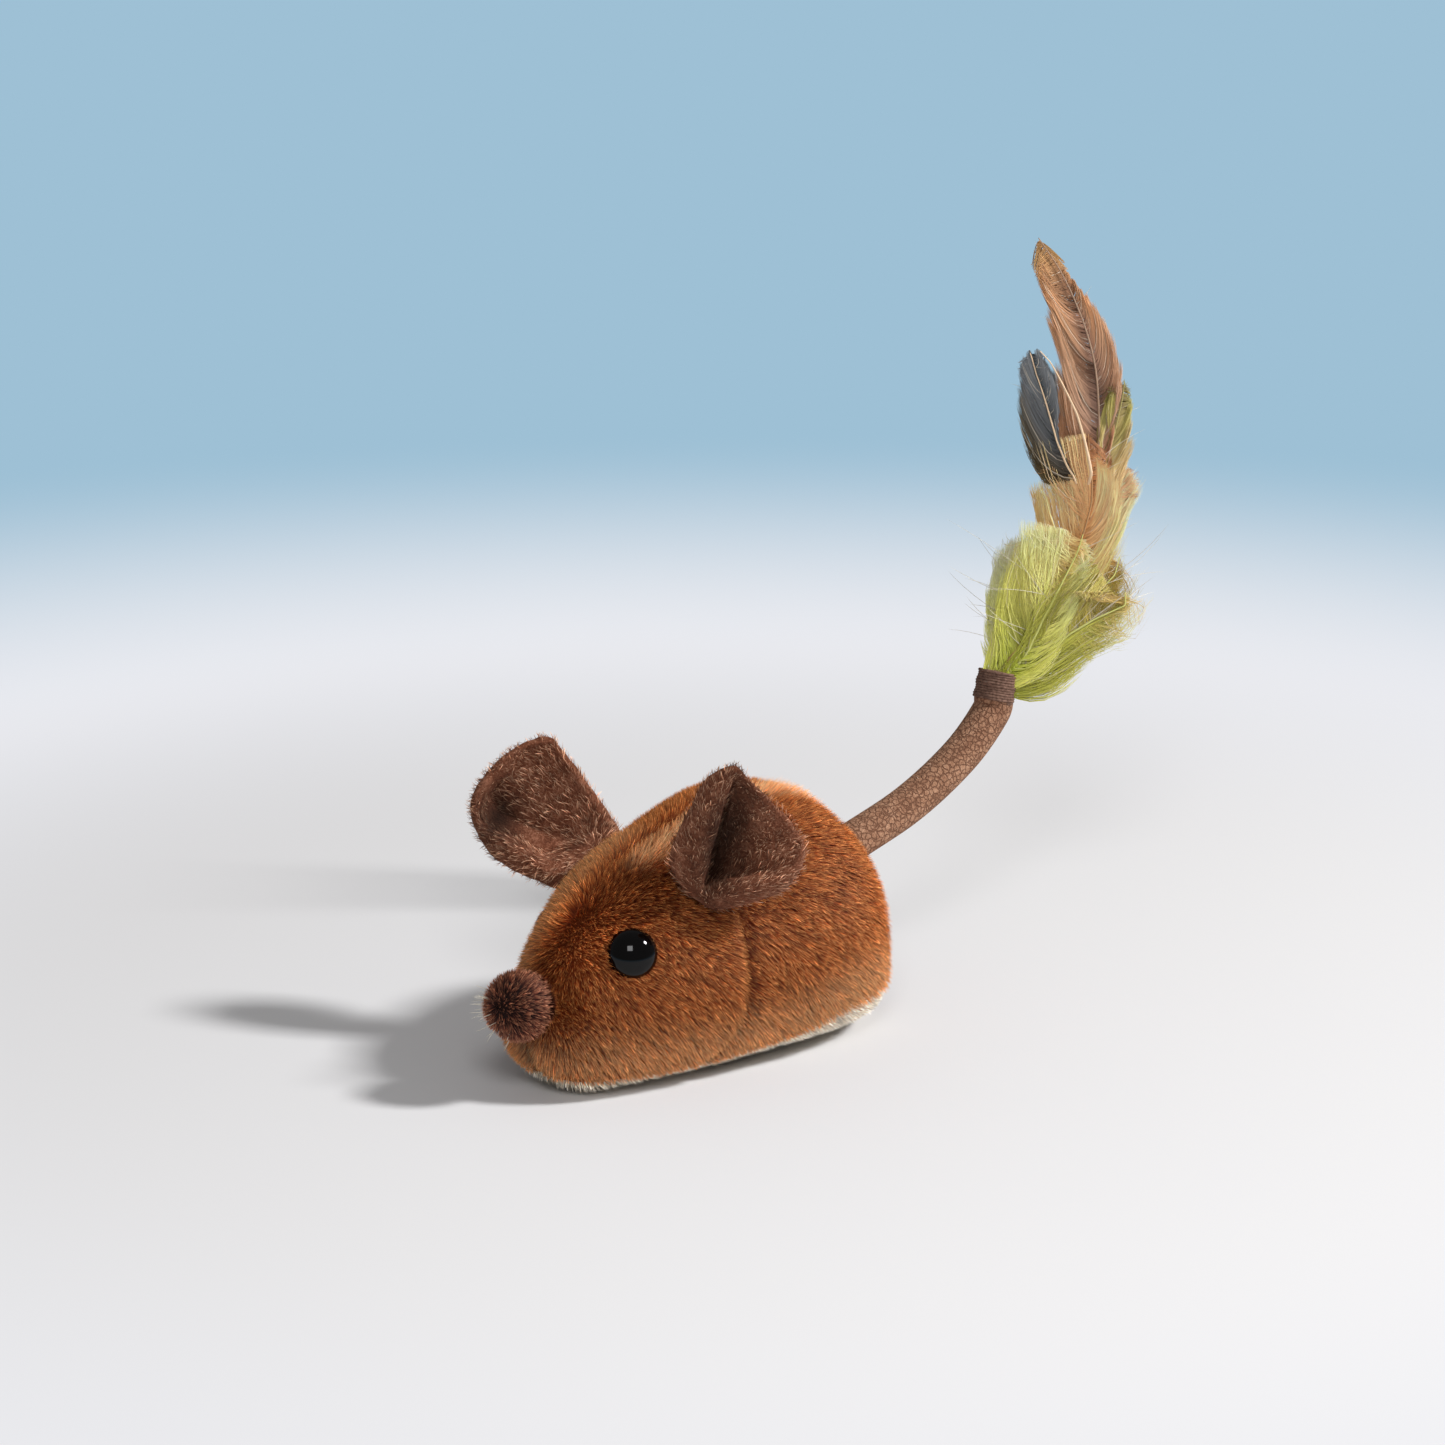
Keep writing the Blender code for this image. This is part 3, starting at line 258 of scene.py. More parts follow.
# Loops of each ear, clockwise from its top as the view sees it: the outline, the rim of its opening and the
# floor of its hollow. Each point is across, up and away from the view, from the root, in shares of ear_height
ear_loop_shares = {
    "left": (
       ((0.193, 1.069, 0.008), (0.316, 0.962, 0), (0.473, 0.805, 0), (0.618, 0.659, 0), (0.708, 0.514, 0),
        (0.701, 0.346, 0), (0.596, 0.189, 0), (0.428, 0.1, 0), (0.227, 0.044, 0), (0.048, 0.021, 0),
        (-0.082, 0.089, 0), (-0.187, 0.178, 0), (-0.272, 0.335, 0), (-0.266, 0.491, 0.012),
        (-0.143, 0.749, 0.016), (0.003, 0.995, 0.012)),
       ((0.204, 1.002, -0.02), (0.283, 0.917, -0.008), (0.428, 0.76, -0.004), (0.562, 0.603, -0.004),
        (0.652, 0.469, -0.012), (0.607, 0.357, -0.04), (0.506, 0.29, -0.071), (0.339, 0.256, -0.087),
        (0.16, 0.241, -0.087), (0.036, 0.196, -0.063), (-0.024, 0.167, -0.04), (-0.037, 0.234, -0.087),
        (0.003, 0.38, -0.119), (0.048, 0.559, -0.127), (0.104, 0.76, -0.103), (0.171, 0.939, -0.056)),
       ((0.182, 0.894, 0.079), (0.193, 0.838, 0.095), (0.195, 0.738, 0.111), (0.193, 0.603, 0.135),
        (0.182, 0.469, 0.159), (0.16, 0.38, 0.167), (0.126, 0.324, 0.159), (0.092, 0.29, 0.143),
        (0.059, 0.268, 0.127), (0.03, 0.254, 0.111), (0.012, 0.268, 0.111), (0.012, 0.301, 0.127),
        (0.034, 0.402, 0.159), (0.068, 0.559, 0.175), (0.108, 0.715, 0.143), (0.148, 0.85, 0.103)),
    ),
    "right": (
       ((-0.391, 0.895, 0), (-0.276, 0.821, 0), (-0.16, 0.671, 0), (-0.068, 0.521, 0), (0.024, 0.36, 0),
        (0.089, 0.221, 0), (0.024, 0.083, 0), (-0.137, -0.09, 0), (-0.322, -0.221, 0), (-0.483, -0.182, 0),
        (-0.645, -0.125, 0), (-0.806, -0.009, 0), (-0.91, 0.152, 0), (-0.956, 0.337, 0), (-0.887, 0.544, 0),
        (-0.668, 0.775, 0)),
       ((-0.396, 0.821, -0.012), (-0.31, 0.764, -0.008), (-0.218, 0.625, -0.008), (-0.126, 0.475, -0.008),
        (-0.04, 0.337, -0.008), (0.02, 0.221, -0.008), (-0.045, 0.102, -0.024), (-0.16, -0.021, -0.048),
        (-0.31, -0.085, -0.075), (-0.46, -0.032, -0.087), (-0.61, 0.072, -0.087), (-0.76, 0.152, -0.071),
        (-0.864, 0.221, -0.048), (-0.892, 0.348, -0.032), (-0.822, 0.521, -0.024), (-0.633, 0.729, -0.016)),
       ((-0.414, 0.66, 0.048), (-0.356, 0.614, 0.048), (-0.299, 0.521, 0.052), (-0.253, 0.406, 0.056),
        (-0.206, 0.291, 0.056), (-0.183, 0.198, 0.056), (-0.218, 0.129, 0.071), (-0.299, 0.065, 0.095),
        (-0.391, 0.042, 0.111), (-0.506, 0.083, 0.127), (-0.622, 0.152, 0.143), (-0.737, 0.203, 0.159),
        (-0.806, 0.245, 0.167), (-0.829, 0.337, 0.159), (-0.76, 0.475, 0.119), (-0.599, 0.614, 0.071)),
    ),
}

# The ears' shells
ear_tuck_shares = {"left": (0.0, 0.0), "right": (0.16, -0.13)}
ear_facing_leans = {"left": 0.515, "right": -0.154}
ear_outline_points = 96
ear_ring_steps = 4
ear_back_shares = ((0.30, 0.32), (0.62, 0.25), (0.86, 0.14))
ear_lip_share = 0.03
ear_wrinkle = 0.00022
ear_wrinkle_scale = 420.0

# The painted shade in each ear's hollow, as the view sees it: its middle across and up, its reach across and
# up, and how far it leans across for each share up, in shares of ear_height
ear_hollow_shares = {"left": (0.12, 0.52, 0.20, 0.48, 0.24), "right": (-0.74, 0.27, 0.2, 0.24, 0.0)}
# How dark the painted shade is at the hollow's middle
ear_hollow_dark = 0.97
ear_floor_share = 1.35

# The ears' nap
nap_length = 0.0017
nap_width = 0.00013
nap_per_area = 2.6e6
nap_tones = ((92, 50, 34), (160, 102, 74), (226, 172, 136), (252, 210, 176))

# Suede: grains and cracks for each metre, how far the cracks wander and how deep they are
suede_scale = 900.0
crack_scale = 860.0
crack_wander = 0.0012
crack_depth = 0.0002

# The tail's sleeve and the thread round its end
tube_sides = 48
tail_stations = 26
thread_diameter = 0.00062
thread_step = 0.00050
thread_points = 20
binding_lump = 0.00012
binding_crown = 0.0004
blend_shares = (0.35, 0.4)

# Each feather as the view sees it: places up the tuft, and there the shaft's distance to the right of the
# tuft's middle and the blade's reach to the left and right of the shaft, in shares of the tuft
blade_shares_seen = {
    "brown_tip": (
        (0.347, 0.054, 0.036, 0.029), (0.412, 0.047, 0.06, 0.033), (0.477, 0.045, 0.08, 0.031),
        (0.542, 0.045, 0.088, 0.033), (0.607, 0.043, 0.089, 0.04), (0.671, 0.042, 0.088, 0.052),
        (0.736, 0.04, 0.08, 0.057), (0.801, 0.038, 0.072, 0.043), (0.866, 0.033, 0.057, 0.022),
        (0.931, 0.024, 0.046, 0.008), (0.996, 0.006, 0.001, 0.001),
    ),
    "slate": (
        (0.4, 0.015, 0.006, 0.002), (0.443, -0.022, 0.06, 0.002), (0.497, -0.049, 0.073, 0.002),
        (0.551, -0.066, 0.073, 0.006), (0.605, -0.081, 0.064, 0.026), (0.658, -0.095, 0.043, 0.033),
        (0.712, -0.102, 0.005, 0.012),
    ),
    "tan_front": (
        (0.143, 0.041, 0.014, 0.029), (0.197, 0.042, 0.042, 0.055), (0.251, 0.048, 0.071, 0.076),
        (0.306, 0.05, 0.099, 0.073), (0.36, 0.05, 0.125, 0.07), (0.414, 0.04, 0.138, 0.057),
        (0.455, 0.029, 0.08, 0.016), (0.52, 0.02, 0.01, 0.004),
    ),
    "tan_back": (
        (0.183, 0.049, 0.014, 0.058), (0.23, 0.062, 0.036, 0.104), (0.278, 0.074, 0.049, 0.083),
        (0.325, 0.083, 0.057, 0.068), (0.373, 0.086, 0.053, 0.067), (0.41, 0.094, 0.04, 0.06),
        (0.46, 0.112, 0.012, 0.02),
    ),
    "olive": (
        (0.389, 0.059, 0.022, 0.036), (0.433, 0.062, 0.029, 0.057), (0.477, 0.069, 0.034, 0.058),
        (0.52, 0.078, 0.038, 0.047), (0.564, 0.087, 0.041, 0.038), (0.608, 0.097, 0.035, 0.026),
        (0.651, 0.104, 0.009, 0.003),
    ),
    "green_front": (
        (0.007, 0.055, 0.066, 0.04), (0.059, 0.046, 0.092, 0.06), (0.111, 0.04, 0.114, 0.06),
        (0.163, 0.041, 0.131, 0.055), (0.205, 0.043, 0.128, 0.045), (0.245, 0.047, 0.095, 0.026),
        (0.285, 0.046, 0.05, 0.001),
    ),
    "green_left": (
        (-0.007, 0.033, 0.042, 0.025), (0.043, 0.002, 0.044, 0.049), (0.093, -0.034, 0.049, 0.058),
        (0.143, -0.057, 0.049, 0.064), (0.194, -0.071, 0.06, 0.065), (0.244, -0.075, 0.055, 0.052),
        (0.294, -0.069, 0.022, 0.022),
    ),
    "green_right": (
        (-0.007, 0.073, 0.014, 0.056), (0.021, 0.088, 0.037, 0.092), (0.049, 0.096, 0.046, 0.094),
        (0.078, 0.118, 0.07, 0.091), (0.106, 0.153, 0.096, 0.075), (0.135, 0.208, 0.135, 0.011),
        (0.163, 0.192, 0.076, 0.011),
    ),
    "green_back": (
        (0.007, 0.077, 0.014, 0.036), (0.046, 0.085, 0.036, 0.082), (0.086, 0.089, 0.049, 0.102),
        (0.125, 0.104, 0.071, 0.106), (0.164, 0.13, 0.096, 0.09), (0.204, 0.152, 0.096, 0.034),
        (0.243, 0.147, 0.09, 0.011),
    ),
}
# Each kind of feather: how stiff its barbs are, the colour of its shaft, and its barbs' colours at places up
# its blade, each with the colour next to the shaft and at the barb's tip
feather_tones = {
    "brown": (0.9, (176, 146, 122), (
        (0.0, (160, 100, 64), (206, 150, 108)), (0.3, (150, 116, 100), (212, 168, 132)),
        (0.6, (142, 106, 90), (212, 156, 108)), (0.82, (156, 112, 84), (206, 152, 106)),
        (1.0, (166, 124, 76), (208, 168, 106)),
    )),
    "tan": (0.7, (186, 142, 96), (
        (0.0, (196, 176, 100), (234, 208, 148)), (0.3, (214, 164, 106), (248, 214, 166)),
        (0.75, (186, 130, 88), (236, 192, 142)), (1.0, (150, 104, 76), (204, 152, 112)),
    )),
    "slate": (1.0, (246, 214, 176), (
        (0.0, (72, 58, 36), (108, 92, 60)), (0.3, (72, 74, 76), (118, 121, 124)),
        (1.0, (98, 104, 108), (152, 156, 160)),
    )),
    "olive": (0.8, (186, 176, 110), (
        (0.0, (196, 170, 110), (222, 192, 140)), (0.4, (158, 136, 88), (196, 186, 106)),
        (1.0, (128, 104, 68), (172, 162, 92)),
    )),
    "green": (0.25, (206, 208, 122), (
        (0.0, (160, 178, 52), (214, 218, 116)), (0.45, (190, 190, 92), (232, 232, 152)),
        (1.0, (214, 182, 118), (244, 214, 166)),
    )),
}
brightest = 0.92
barb_wave = 0.0007
# How the slate feather's lower shaft dips behind the others, and its second shaft
feather_dip = 0.0045
feather_dip_shares = (0.43, 0.38)
slate_quill_seen = (
    (0.330, 0.030), (0.354, 0.032), (0.423, 0.033), (0.461, 0.021), (0.529, -0.001), (0.560, -0.011),
    (0.613, -0.035), (0.680, -0.064), (0.708, -0.084),
)
slate_quill_lift = 0.0022
feather_depth_share = 0.8
barb_width = 0.00019
barb_step = 0.00009
shaft_lift = 0.0009
blade_spread_share = 1.05
barb_layers = 3
barb_levels = 7
lock_length = 0.0034
layer_gap = 0.0005
pale_barb_share = 0.05
pale_barb_tone = (236, 220, 196)
shaft_diameter = 0.0008
shaft_stations = 60

# Loose hairs at the tuft and the nose
hair_levels = 7
hair_bend = 0.22
hair_width = 0.00012
hair_tone = (240, 232, 212)
nose_hairs = 26
nose_hair_lengths = (0.0015, 0.0038)
tuft_hair_least = 0.001
tuft_hair_spread = 0.0045
tuft_hair_most = 0.009

# Stuffing
filling_voxel = 0.0012
filling_lump = 0.0004
filling_lump_scale = 160.0
fibre_length = 0.0035
fibre_width = 0.00006
fibre_per_area = 1.5e6
fibre_tones = ((206, 206, 202), (228, 228, 225), (242, 242, 240))
fillings = (
    ("head_filling", "mouse"), ("body_filling", "mouse"), ("tail_core_base", "tail_base"),
    ("tail_core_middle", "tail_middle"), ("tail_core_tip", "tail_tip"),
)

# The flap and its fastener
flap_lift = 0.0012
flap_pile_length = 0.0011
hook_length = 0.0005
loop_length = 0.0009
strip_per_area = 9.0e6

# Values worked out from the sizes above
half_length = body_length / 2
half_width = body_width / 2
neck_seam_y = head_length - half_length
eye_y = eye_inset - half_length
tail_radius = tail_diameter / 2
window_y = half_length - window_rear_margin - window_length / 2
place = np.array(body_place)


def linear(tone):
    """A colour given in ordinary 0 to 255 values, as linear light."""
    shares = np.asarray(tone, float) / 255
    return np.where(shares <= 0.04045, shares / 12.92, ((shares + 0.055) / 1.055) ** 2.4)


def rgba(tone):
    return (*linear(tone), 1)


def rows_at(shares, along):
    """Rows of a table of shares at these places, through a smooth curve (Catmull-Rom)."""
    table = np.array(shares, float)
    along = np.atleast_1d(np.asarray(along, float))
    last = len(table) - 1
    i = np.clip(np.searchsorted(table[:, 0], along, side="right") - 1, 0, last - 1)
    before, start, end, after = (table[np.clip(i + k, 0, last)] for k in (-1, 0, 1, 2))
    span = end[:, :1] - start[:, :1]
    t = (along[:, None] - start[:, :1]) / span
    slope_in = (end - before) / (end[:, :1] - before[:, :1]) * span
    slope_out = (after - start) / (after[:, :1] - start[:, :1]) * span
    value = (2 * t**3 - 3 * t**2 + 1) * start + (t**3 - 2 * t**2 + t) * slope_in
    value += (3 * t**2 - 2 * t**3) * end + (t**3 - t**2) * slope_out
    return value[:, 1:]


def smooth_step(low, high, value):
    t = np.clip((value - low) / (high - low), 0, 1)
    return t * t * (3 - 2 * t)


def unit(vectors):
    return vectors / np.maximum(np.linalg.norm(vectors, axis=-1, keepdims=True), 1e-12)


def section_form(share, inset=0.0):
    """The body's half width and its lowest, widest and highest heights at shares of its length."""
    wide, top, bottom = rows_at(section_shares, share).T
    low = bottom * body_height - rest_cut + inset
    high = top * body_height - inset
    return wide * half_width - inset, low, low + widest_share * (high - low), high


def section_points(along, turn, inset):
    """Points of the body's form, drawn in by inset, in the frame of the solids."""
    wide, low, middle, high = section_form(along, inset)
    power = np.where(np.sin(turn) >= 0, upper_power_share, lower_power_share)
    rise = np.where(np.sin(turn) >= 0, high - middle, middle - low)
    x = wide * np.sign(np.cos(turn)) * np.abs(np.cos(turn)) ** (2 / power)
    y = -half_length + inset + along * (body_length - 2 * inset)
    z = middle + rise * np.sign(np.sin(turn)) * np.abs(np.sin(turn)) ** (2 / power)
    return np.stack([x, y, z], axis=-1) + place


def belly_seam(y):
    share = (y - place[1] + half_length) / body_length
    return belly_seam_front + share * (belly_seam_rear - belly_seam_front)


# Meshes and pieces


def add_object(name, data):
    """An object of this mesh, lamp or camera, in the scene."""
    made = bpy.data.objects.new(name, data)
    bpy.context.scene.collection.objects.link(made)
    return made


def make_piece(name, points, faces, look, body, slot, nodes=()):
    """A mesh piece with this look, which rides on a body and stands for these nodes. The slot is not used."""
    mesh = bpy.data.meshes.new(name)
    mesh.from_pydata([tuple(p) for p in points], [], [tuple(f) for f in faces])
    bm = bmesh.new()
    bm.from_mesh(mesh)
    bmesh.ops.recalc_face_normals(bm, faces=bm.faces)
    bm.to_mesh(mesh)
    bm.free()
    mesh.update()
    mesh.materials.append(look)
    mesh.shade_smooth()
    obj = add_object(name, mesh)
    settle(obj, body, nodes)
    return obj


def settle(obj, body, nodes=()):
    if body:
        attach(obj, body)
    if nodes:
        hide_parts(*nodes)


def apply_modifiers(obj):
    graph = bpy.context.evaluated_depsgraph_get()
    made = bpy.data.meshes.new_from_object(obj.evaluated_get(graph), depsgraph=graph)
    obj.modifiers.clear()
    obj.data = made
    return obj


def grid_faces(rows, columns, capped=False):
    """Faces between closed rings of points, with one more face over each end where it is capped."""
    faces = []
    for low in range(0, (rows - 1) * columns, columns):
        high = low + columns
        for column in range(columns):
            after = (column + 1) % columns
            faces.append((low + column, low + after, high + after, high + column))
    if capped:
        faces += [tuple(range(columns))[::-1], tuple(range((rows - 1) * columns, rows * columns))]
    return faces


def mesh_arrays(obj):
    """Vertices, their normals, and triangles of a piece."""
    mesh = obj.data
    mesh.calc_loop_triangles()
    points = np.empty(len(mesh.vertices) * 3)
    mesh.vertices.foreach_get("co", points)
    normals = np.empty(len(mesh.vertices) * 3)
    mesh.vertices.foreach_get("normal", normals)
    corners = np.empty(len(mesh.loop_triangles) * 3, np.int64)
    mesh.loop_triangles.foreach_get("vertices", corners)
    return points.reshape(-1, 3), normals.reshape(-1, 3), corners.reshape(-1, 3)


def scatter(obj, per_area, rng):
    """Random places on a piece's surface and the normals there."""
    points, normals, corners = mesh_arrays(obj)
    a, b, c = (points[corners[:, k]] for k in range(3))
    areas = np.linalg.norm(np.cross(b - a, c - a), axis=1) / 2
    count = int(areas.sum() * per_area)
    chosen = rng.choice(len(corners), count, p=areas / areas.sum())
    u, v = rng.random(count), rng.random(count)
    over = u + v > 1
    u[over], v[over] = 1 - u[over], 1 - v[over]
    weights = np.stack([1 - u - v, u, v], axis=1)[:, :, None]
    roots = (points[corners[chosen]] * weights).sum(axis=1)
    return roots, unit((normals[corners[chosen]] * weights).sum(axis=1))


def lay_flat(direction, normals):
    """The direction in the surface's own plane."""
    return direction - normals * (direction * normals).sum(axis=-1, keepdims=True)


def strand_lines(roots, normals, flows, lengths, lift_start, lift_end, levels=4):
    """Points up each strand, which starts at one angle over the cloth and ends at another."""
    steps = levels - 1
    lines = [roots]
    for step in range(steps):
        share = (step + 0.5) / steps
        lift = lift_start + (lift_end - lift_start) * share
        rise, reach = np.sin(lift)[:, None], np.cos(lift)[:, None]
        lines.append(lines[-1] + (normals * rise + flows * reach) * (lengths / steps)[:, None])
    return np.stack(lines, axis=1)


def clump_count(roots, spacing):
    """How many clumps the strands fall into: at least 8, and more for a wide or a dense piece."""
    span = np.prod(np.ptp(roots, axis=0) + spacing) ** (1 / 3)
    dense = int(len(roots) * (spacing**2) * 0.9 / max(span**2, spacing**2) * 2)
    cells = np.unique(np.floor(roots / spacing).astype(int), axis=0)
    return min(len(roots), max(8, dense, int(len(cells) * 0.8) + 1))


def clump_strands(lines, spacing, pull, rng):
    """Draws the tips of neighbouring strands together and returns a random share for each clump."""
    roots = lines[:, 0]
    seeds = roots[rng.choice(len(roots), clump_count(roots, spacing), replace=False)]
    tree = kdtree.KDTree(len(seeds))
    for i, seed in enumerate(seeds):
        tree.insert(seed, i)
    tree.balance()
    near = np.array([tree.find(root)[1] for root in roots])
    shares = rng.random(len(seeds))
    rng.normal(0, 1, len(seeds))  # keeps every later draw as it is
    offsets = seeds[near] - roots
    reach = np.linalg.norm(offsets, axis=1, keepdims=True)
    offsets *= np.minimum(1, spacing / np.maximum(reach, spacing / 10))
    for level in range(1, lines.shape[1]):
        lines[:, level] += offsets * pull * (level / (lines.shape[1] - 1)) ** 1.5
    return shares[near]


def tint_points(mesh, shades):
    """Gives each point of a mesh its own tint."""
    full = np.ones((len(mesh.vertices), 4), np.float32)
    full[:, :3] = shades
    mesh.color_attributes.new("Tint", "FLOAT_COLOR", "POINT").data.foreach_set("color", full.reshape(-1))


def build_strands(name, lines, sides, widths, colours, normals, look, body, slot, nodes=()):
    """Tapering ribbons along these lines. Each has its own cell in the bake's map."""
    count, levels = lines.shape[:2]
    half = widths[:, None, None] / 2 * np.linspace(1, 0.55, levels - 1)[None, :, None] * sides[:, None, :]
    pairs = np.stack([lines[:, :-1] - half, lines[:, :-1] + half], axis=2)
    each = 2 * levels - 1
    points = np.concatenate([pairs.reshape(count, -1, 3), lines[:, -1:]], axis=1).reshape(-1, 3)
    quads = [(2 * k, 2 * k + 1, 2 * k + 3, 2 * k + 2) for k in range(levels - 2)]
    around = np.array([*np.ravel(quads), each - 3, each - 2, each - 1])
    corners = (np.arange(count)[:, None] * each + around).reshape(-1)
    sizes = np.tile([4] * len(quads) + [3], count)
    mesh = bpy.data.meshes.new(name)
    mesh.vertices.add(len(points))
    mesh.vertices.foreach_set("co", points.astype(np.float32).reshape(-1))
    mesh.loops.add(len(corners))
    mesh.loops.foreach_set("vertex_index", corners.astype(np.int32))
    mesh.polygons.add(len(sizes))
    starts = np.concatenate([[0], np.cumsum(sizes)[:-1]])
    mesh.polygons.foreach_set("loop_start", starts.astype(np.int32))
    mesh.polygons.foreach_set("loop_total", sizes.astype(np.int32))
    mesh.update(calc_edges=True)
    shades = np.concatenate([np.repeat(colours[:, :-1], 2, axis=1), colours[:, -1:]], axis=1)
    tint_points(mesh, shades.reshape(-1, 3))
    cells = int(np.ceil(np.sqrt(count)))
    column, row = np.arange(count) % cells, np.arange(count) // cells
    across = np.array([0.2, 0.8] * (levels - 1) + [0.5])
    up = np.append(np.repeat(np.linspace(0.12, 0.7, levels - 1), 2), 0.88)
    flat = np.stack([(column[:, None] + across) / cells, (row[:, None] + up) / cells], axis=-1)
    bake_map = mesh.uv_layers.new(name="OFBake")
    bake_map.data.foreach_set("uv", flat.reshape(-1, 2)[corners].astype(np.float32).reshape(-1))
    mesh.shade_smooth()
    if normals is not None:
        mesh.normals_split_custom_set_from_vertices(np.repeat(normals, each, axis=0).tolist())
    mesh.materials.append(look)
    settle(add_object(name, mesh), body, nodes)


# Materials


def put(tree, socket, value):
    """Gives an input a value, or another node's result."""
    if isinstance(value, bpy.types.NodeSocket):
        tree.links.new(value, socket)
    else:
        socket.default_value = value


def new_look(name, tone, roughness, **settings):
    """A Principled material. Settings are set on the shader's own sockets."""
    made = bpy.data.materials.new(name)
    made.use_nodes = True
    made.diffuse_color = rgba(tone)
    shader = made.node_tree.nodes["Principled BSDF"]
    settings.update(Base_Color=rgba(tone), Roughness=roughness)
    for key, value in settings.items():
        shader.inputs[key.replace("_", " ")].default_value = value
    return made, made.node_tree, shader


def add_node(tree, kind, **settings):
    """A node. Each setting is what goes into the input of that name, or else a choice of the node's own."""
    made = tree.nodes.new("ShaderNode" + kind)
    for key, value in settings.items():
        name = key.replace("_", " ")
        if name in made.inputs:
            put(tree, made.inputs[name], value)
        else:
            setattr(made, key, value)
    return made


def mix(tree, factor, low, high, blend="MIX"):
    """The mixture of two colours."""
    made = add_node(tree, "Mix", data_type="RGBA", blend_type=blend)
    for index, value in ((0, factor), (6, low), (7, high)):
        put(tree, made.inputs[index], value)
    return made.outputs[2]


def sum_up(tree, operation, *values):
    """The result of a sum with these values."""
    made = add_node(tree, "Math", operation=operation)
    for index, value in enumerate(values):
        put(tree, made.inputs[index], value)
    return made.outputs[0]


def tint(tree):
    return add_node(tree, "VertexColor", layer_name="Tint").outputs["Color"]


def place_node(tree):
    return add_node(tree, "TexCoord").outputs["Object"]


def noise(tree, scale, detail=4.0, roughness=0.6, where=None, distortion=0.0):
    made = add_node(tree, "TexNoise", Scale=scale, Detail=detail, Roughness=roughness, Distortion=distortion)
    put(tree, made.inputs["Vector"], where or place_node(tree))
    return made.outputs["Fac"]


def ramp(tree, source, stops):
    """Colours along a value. Stops are (place, 0 to 255 colour) pairs."""
    made = add_node(tree, "ValToRGB", Fac=source)
    while len(made.color_ramp.elements) < len(stops):
        made.color_ramp.elements.new(0.5)
    for element, (where, tone) in zip(made.color_ramp.elements, stops):
        element.position = where
        element.color = rgba(tone)
    return made.outputs["Color"]


def add_bump(tree, shader, height, distance, strength=1.0, before=None):
    """Roughens a shader's surface, over the bump before it if there is one."""
    made = add_node(tree, "Bump", Distance=distance, Strength=strength, Height=height)
    if before is not None:
        put(tree, made.inputs["Normal"], before)
    put(tree, shader.inputs["Normal"], made.outputs["Normal"])
    return made.outputs["Normal"]


def strand_look(name, tone, roughness, **settings):
    """For ribbons, whose colour comes from their tint."""
    made, tree, shader = new_look(name, tone, roughness, **settings)
    put(tree, shader.inputs["Base Color"], tint(tree))
    return made


def cloth_look(name, low, high, scale):
    """A woven or fibrous ground, mottled between two colours."""
    made, tree, shader = new_look(name, high, 0.95, Specular_IOR_Level=0.2)
    put(tree, shader.inputs["Base Color"], ramp(tree, noise(tree, scale), ((0.3, low), (0.7, high))))
    add_bump(tree, shader, noise(tree, scale * 3), 1 / scale / 6)
    return made


def cracks(tree, scale, wander):
    """A value that falls to 0 along the lines of a net of fine cracks."""
    moved = add_node(tree, "TexNoise", Scale=scale, Vector=place_node(tree)).outputs["Color"]
    bent = mix(tree, wander, place_node(tree), moved, "ADD")
    cells = add_node(tree, "TexVoronoi", feature="DISTANCE_TO_EDGE", Scale=scale, Vector=bent)
    return cells.outputs["Distance"]


def cracked_look(name, dark, middle, light, crack):
    """Suede cloth creased into a net of fine cracks."""
    made = suede_look(name, dark, middle, light)
    tree = made.node_tree
    shader = tree.nodes["Principled BSDF"]
    tone, normal = (shader.inputs[key].links[0].from_socket for key in ("Base Color", "Normal"))
    lines = ramp(tree, cracks(tree, crack_scale, crack_wander), ((0.0, (0, 0, 0)), (0.16, (255, 255, 255))))
    put(tree, shader.inputs["Base Color"], mix(tree, lines, rgba(crack), tone))
    add_bump(tree, shader, lines, crack_depth, 0.8, normal)
    return made


def suede_look(name, dark, middle, light, tinted=False):
    """Brushed suede cloth: soft patches and a nap, darkened by its piece's tint where it has one, as the
    ears' painted shade.
    """
    sheen = {"Sheen_Weight": 0.35, "Sheen_Roughness": 0.6, "Sheen_Tint": rgba(light)}
    made, tree, shader = new_look(name, middle, 0.9, Specular_IOR_Level=0.15, **sheen)
    patches = noise(tree, suede_scale / 3, 6.0, 0.7)
    fine = noise(tree, suede_scale * 3, 3.0, 0.7)
    both = sum_up(tree, "MULTIPLY_ADD", fine, 0.5, sum_up(tree, "MULTIPLY", patches, 0.5))
    tone = ramp(tree, both, ((0.36, dark), (0.5, middle), (0.64, light)))
    if tinted:
        tone = mix(tree, 1.0, tone, tint(tree), "MULTIPLY")
    put(tree, shader.inputs["Base Color"], tone)
    bumped = add_bump(tree, shader, fine, 1 / suede_scale / 4, 0.7)
    add_bump(tree, shader, patches, 1 / suede_scale / 2, 0.6, bumped)
    return made


# The view, the lights and the floor


def view_axes():
    """Directions to the right, up and back towards the view."""
    azimuth, elevation = radians(view_azimuth), radians(view_elevation)
    back = np.array([sin(azimuth) * cos(elevation), -cos(azimuth) * cos(elevation), sin(elevation)])
    right = np.array([cos(azimuth), sin(azimuth), 0])
    return right, np.cross(back, right), back


def make_view():
    right, up, back = (Vector(axis) for axis in view_axes())
    data = bpy.data.cameras.new("view")
    data.sensor_width = 36.0
    data.lens = data.sensor_width * lens_width_share
    camera = add_object("view", data)
    camera.location = view_target + back * view_distance
    aim = view_target + right * view_aim_right + up * view_aim_up
    camera.rotation_euler = (aim - camera.location).to_track_quat("-Z", "Y").to_euler()
    bpy.context.scene.camera = camera


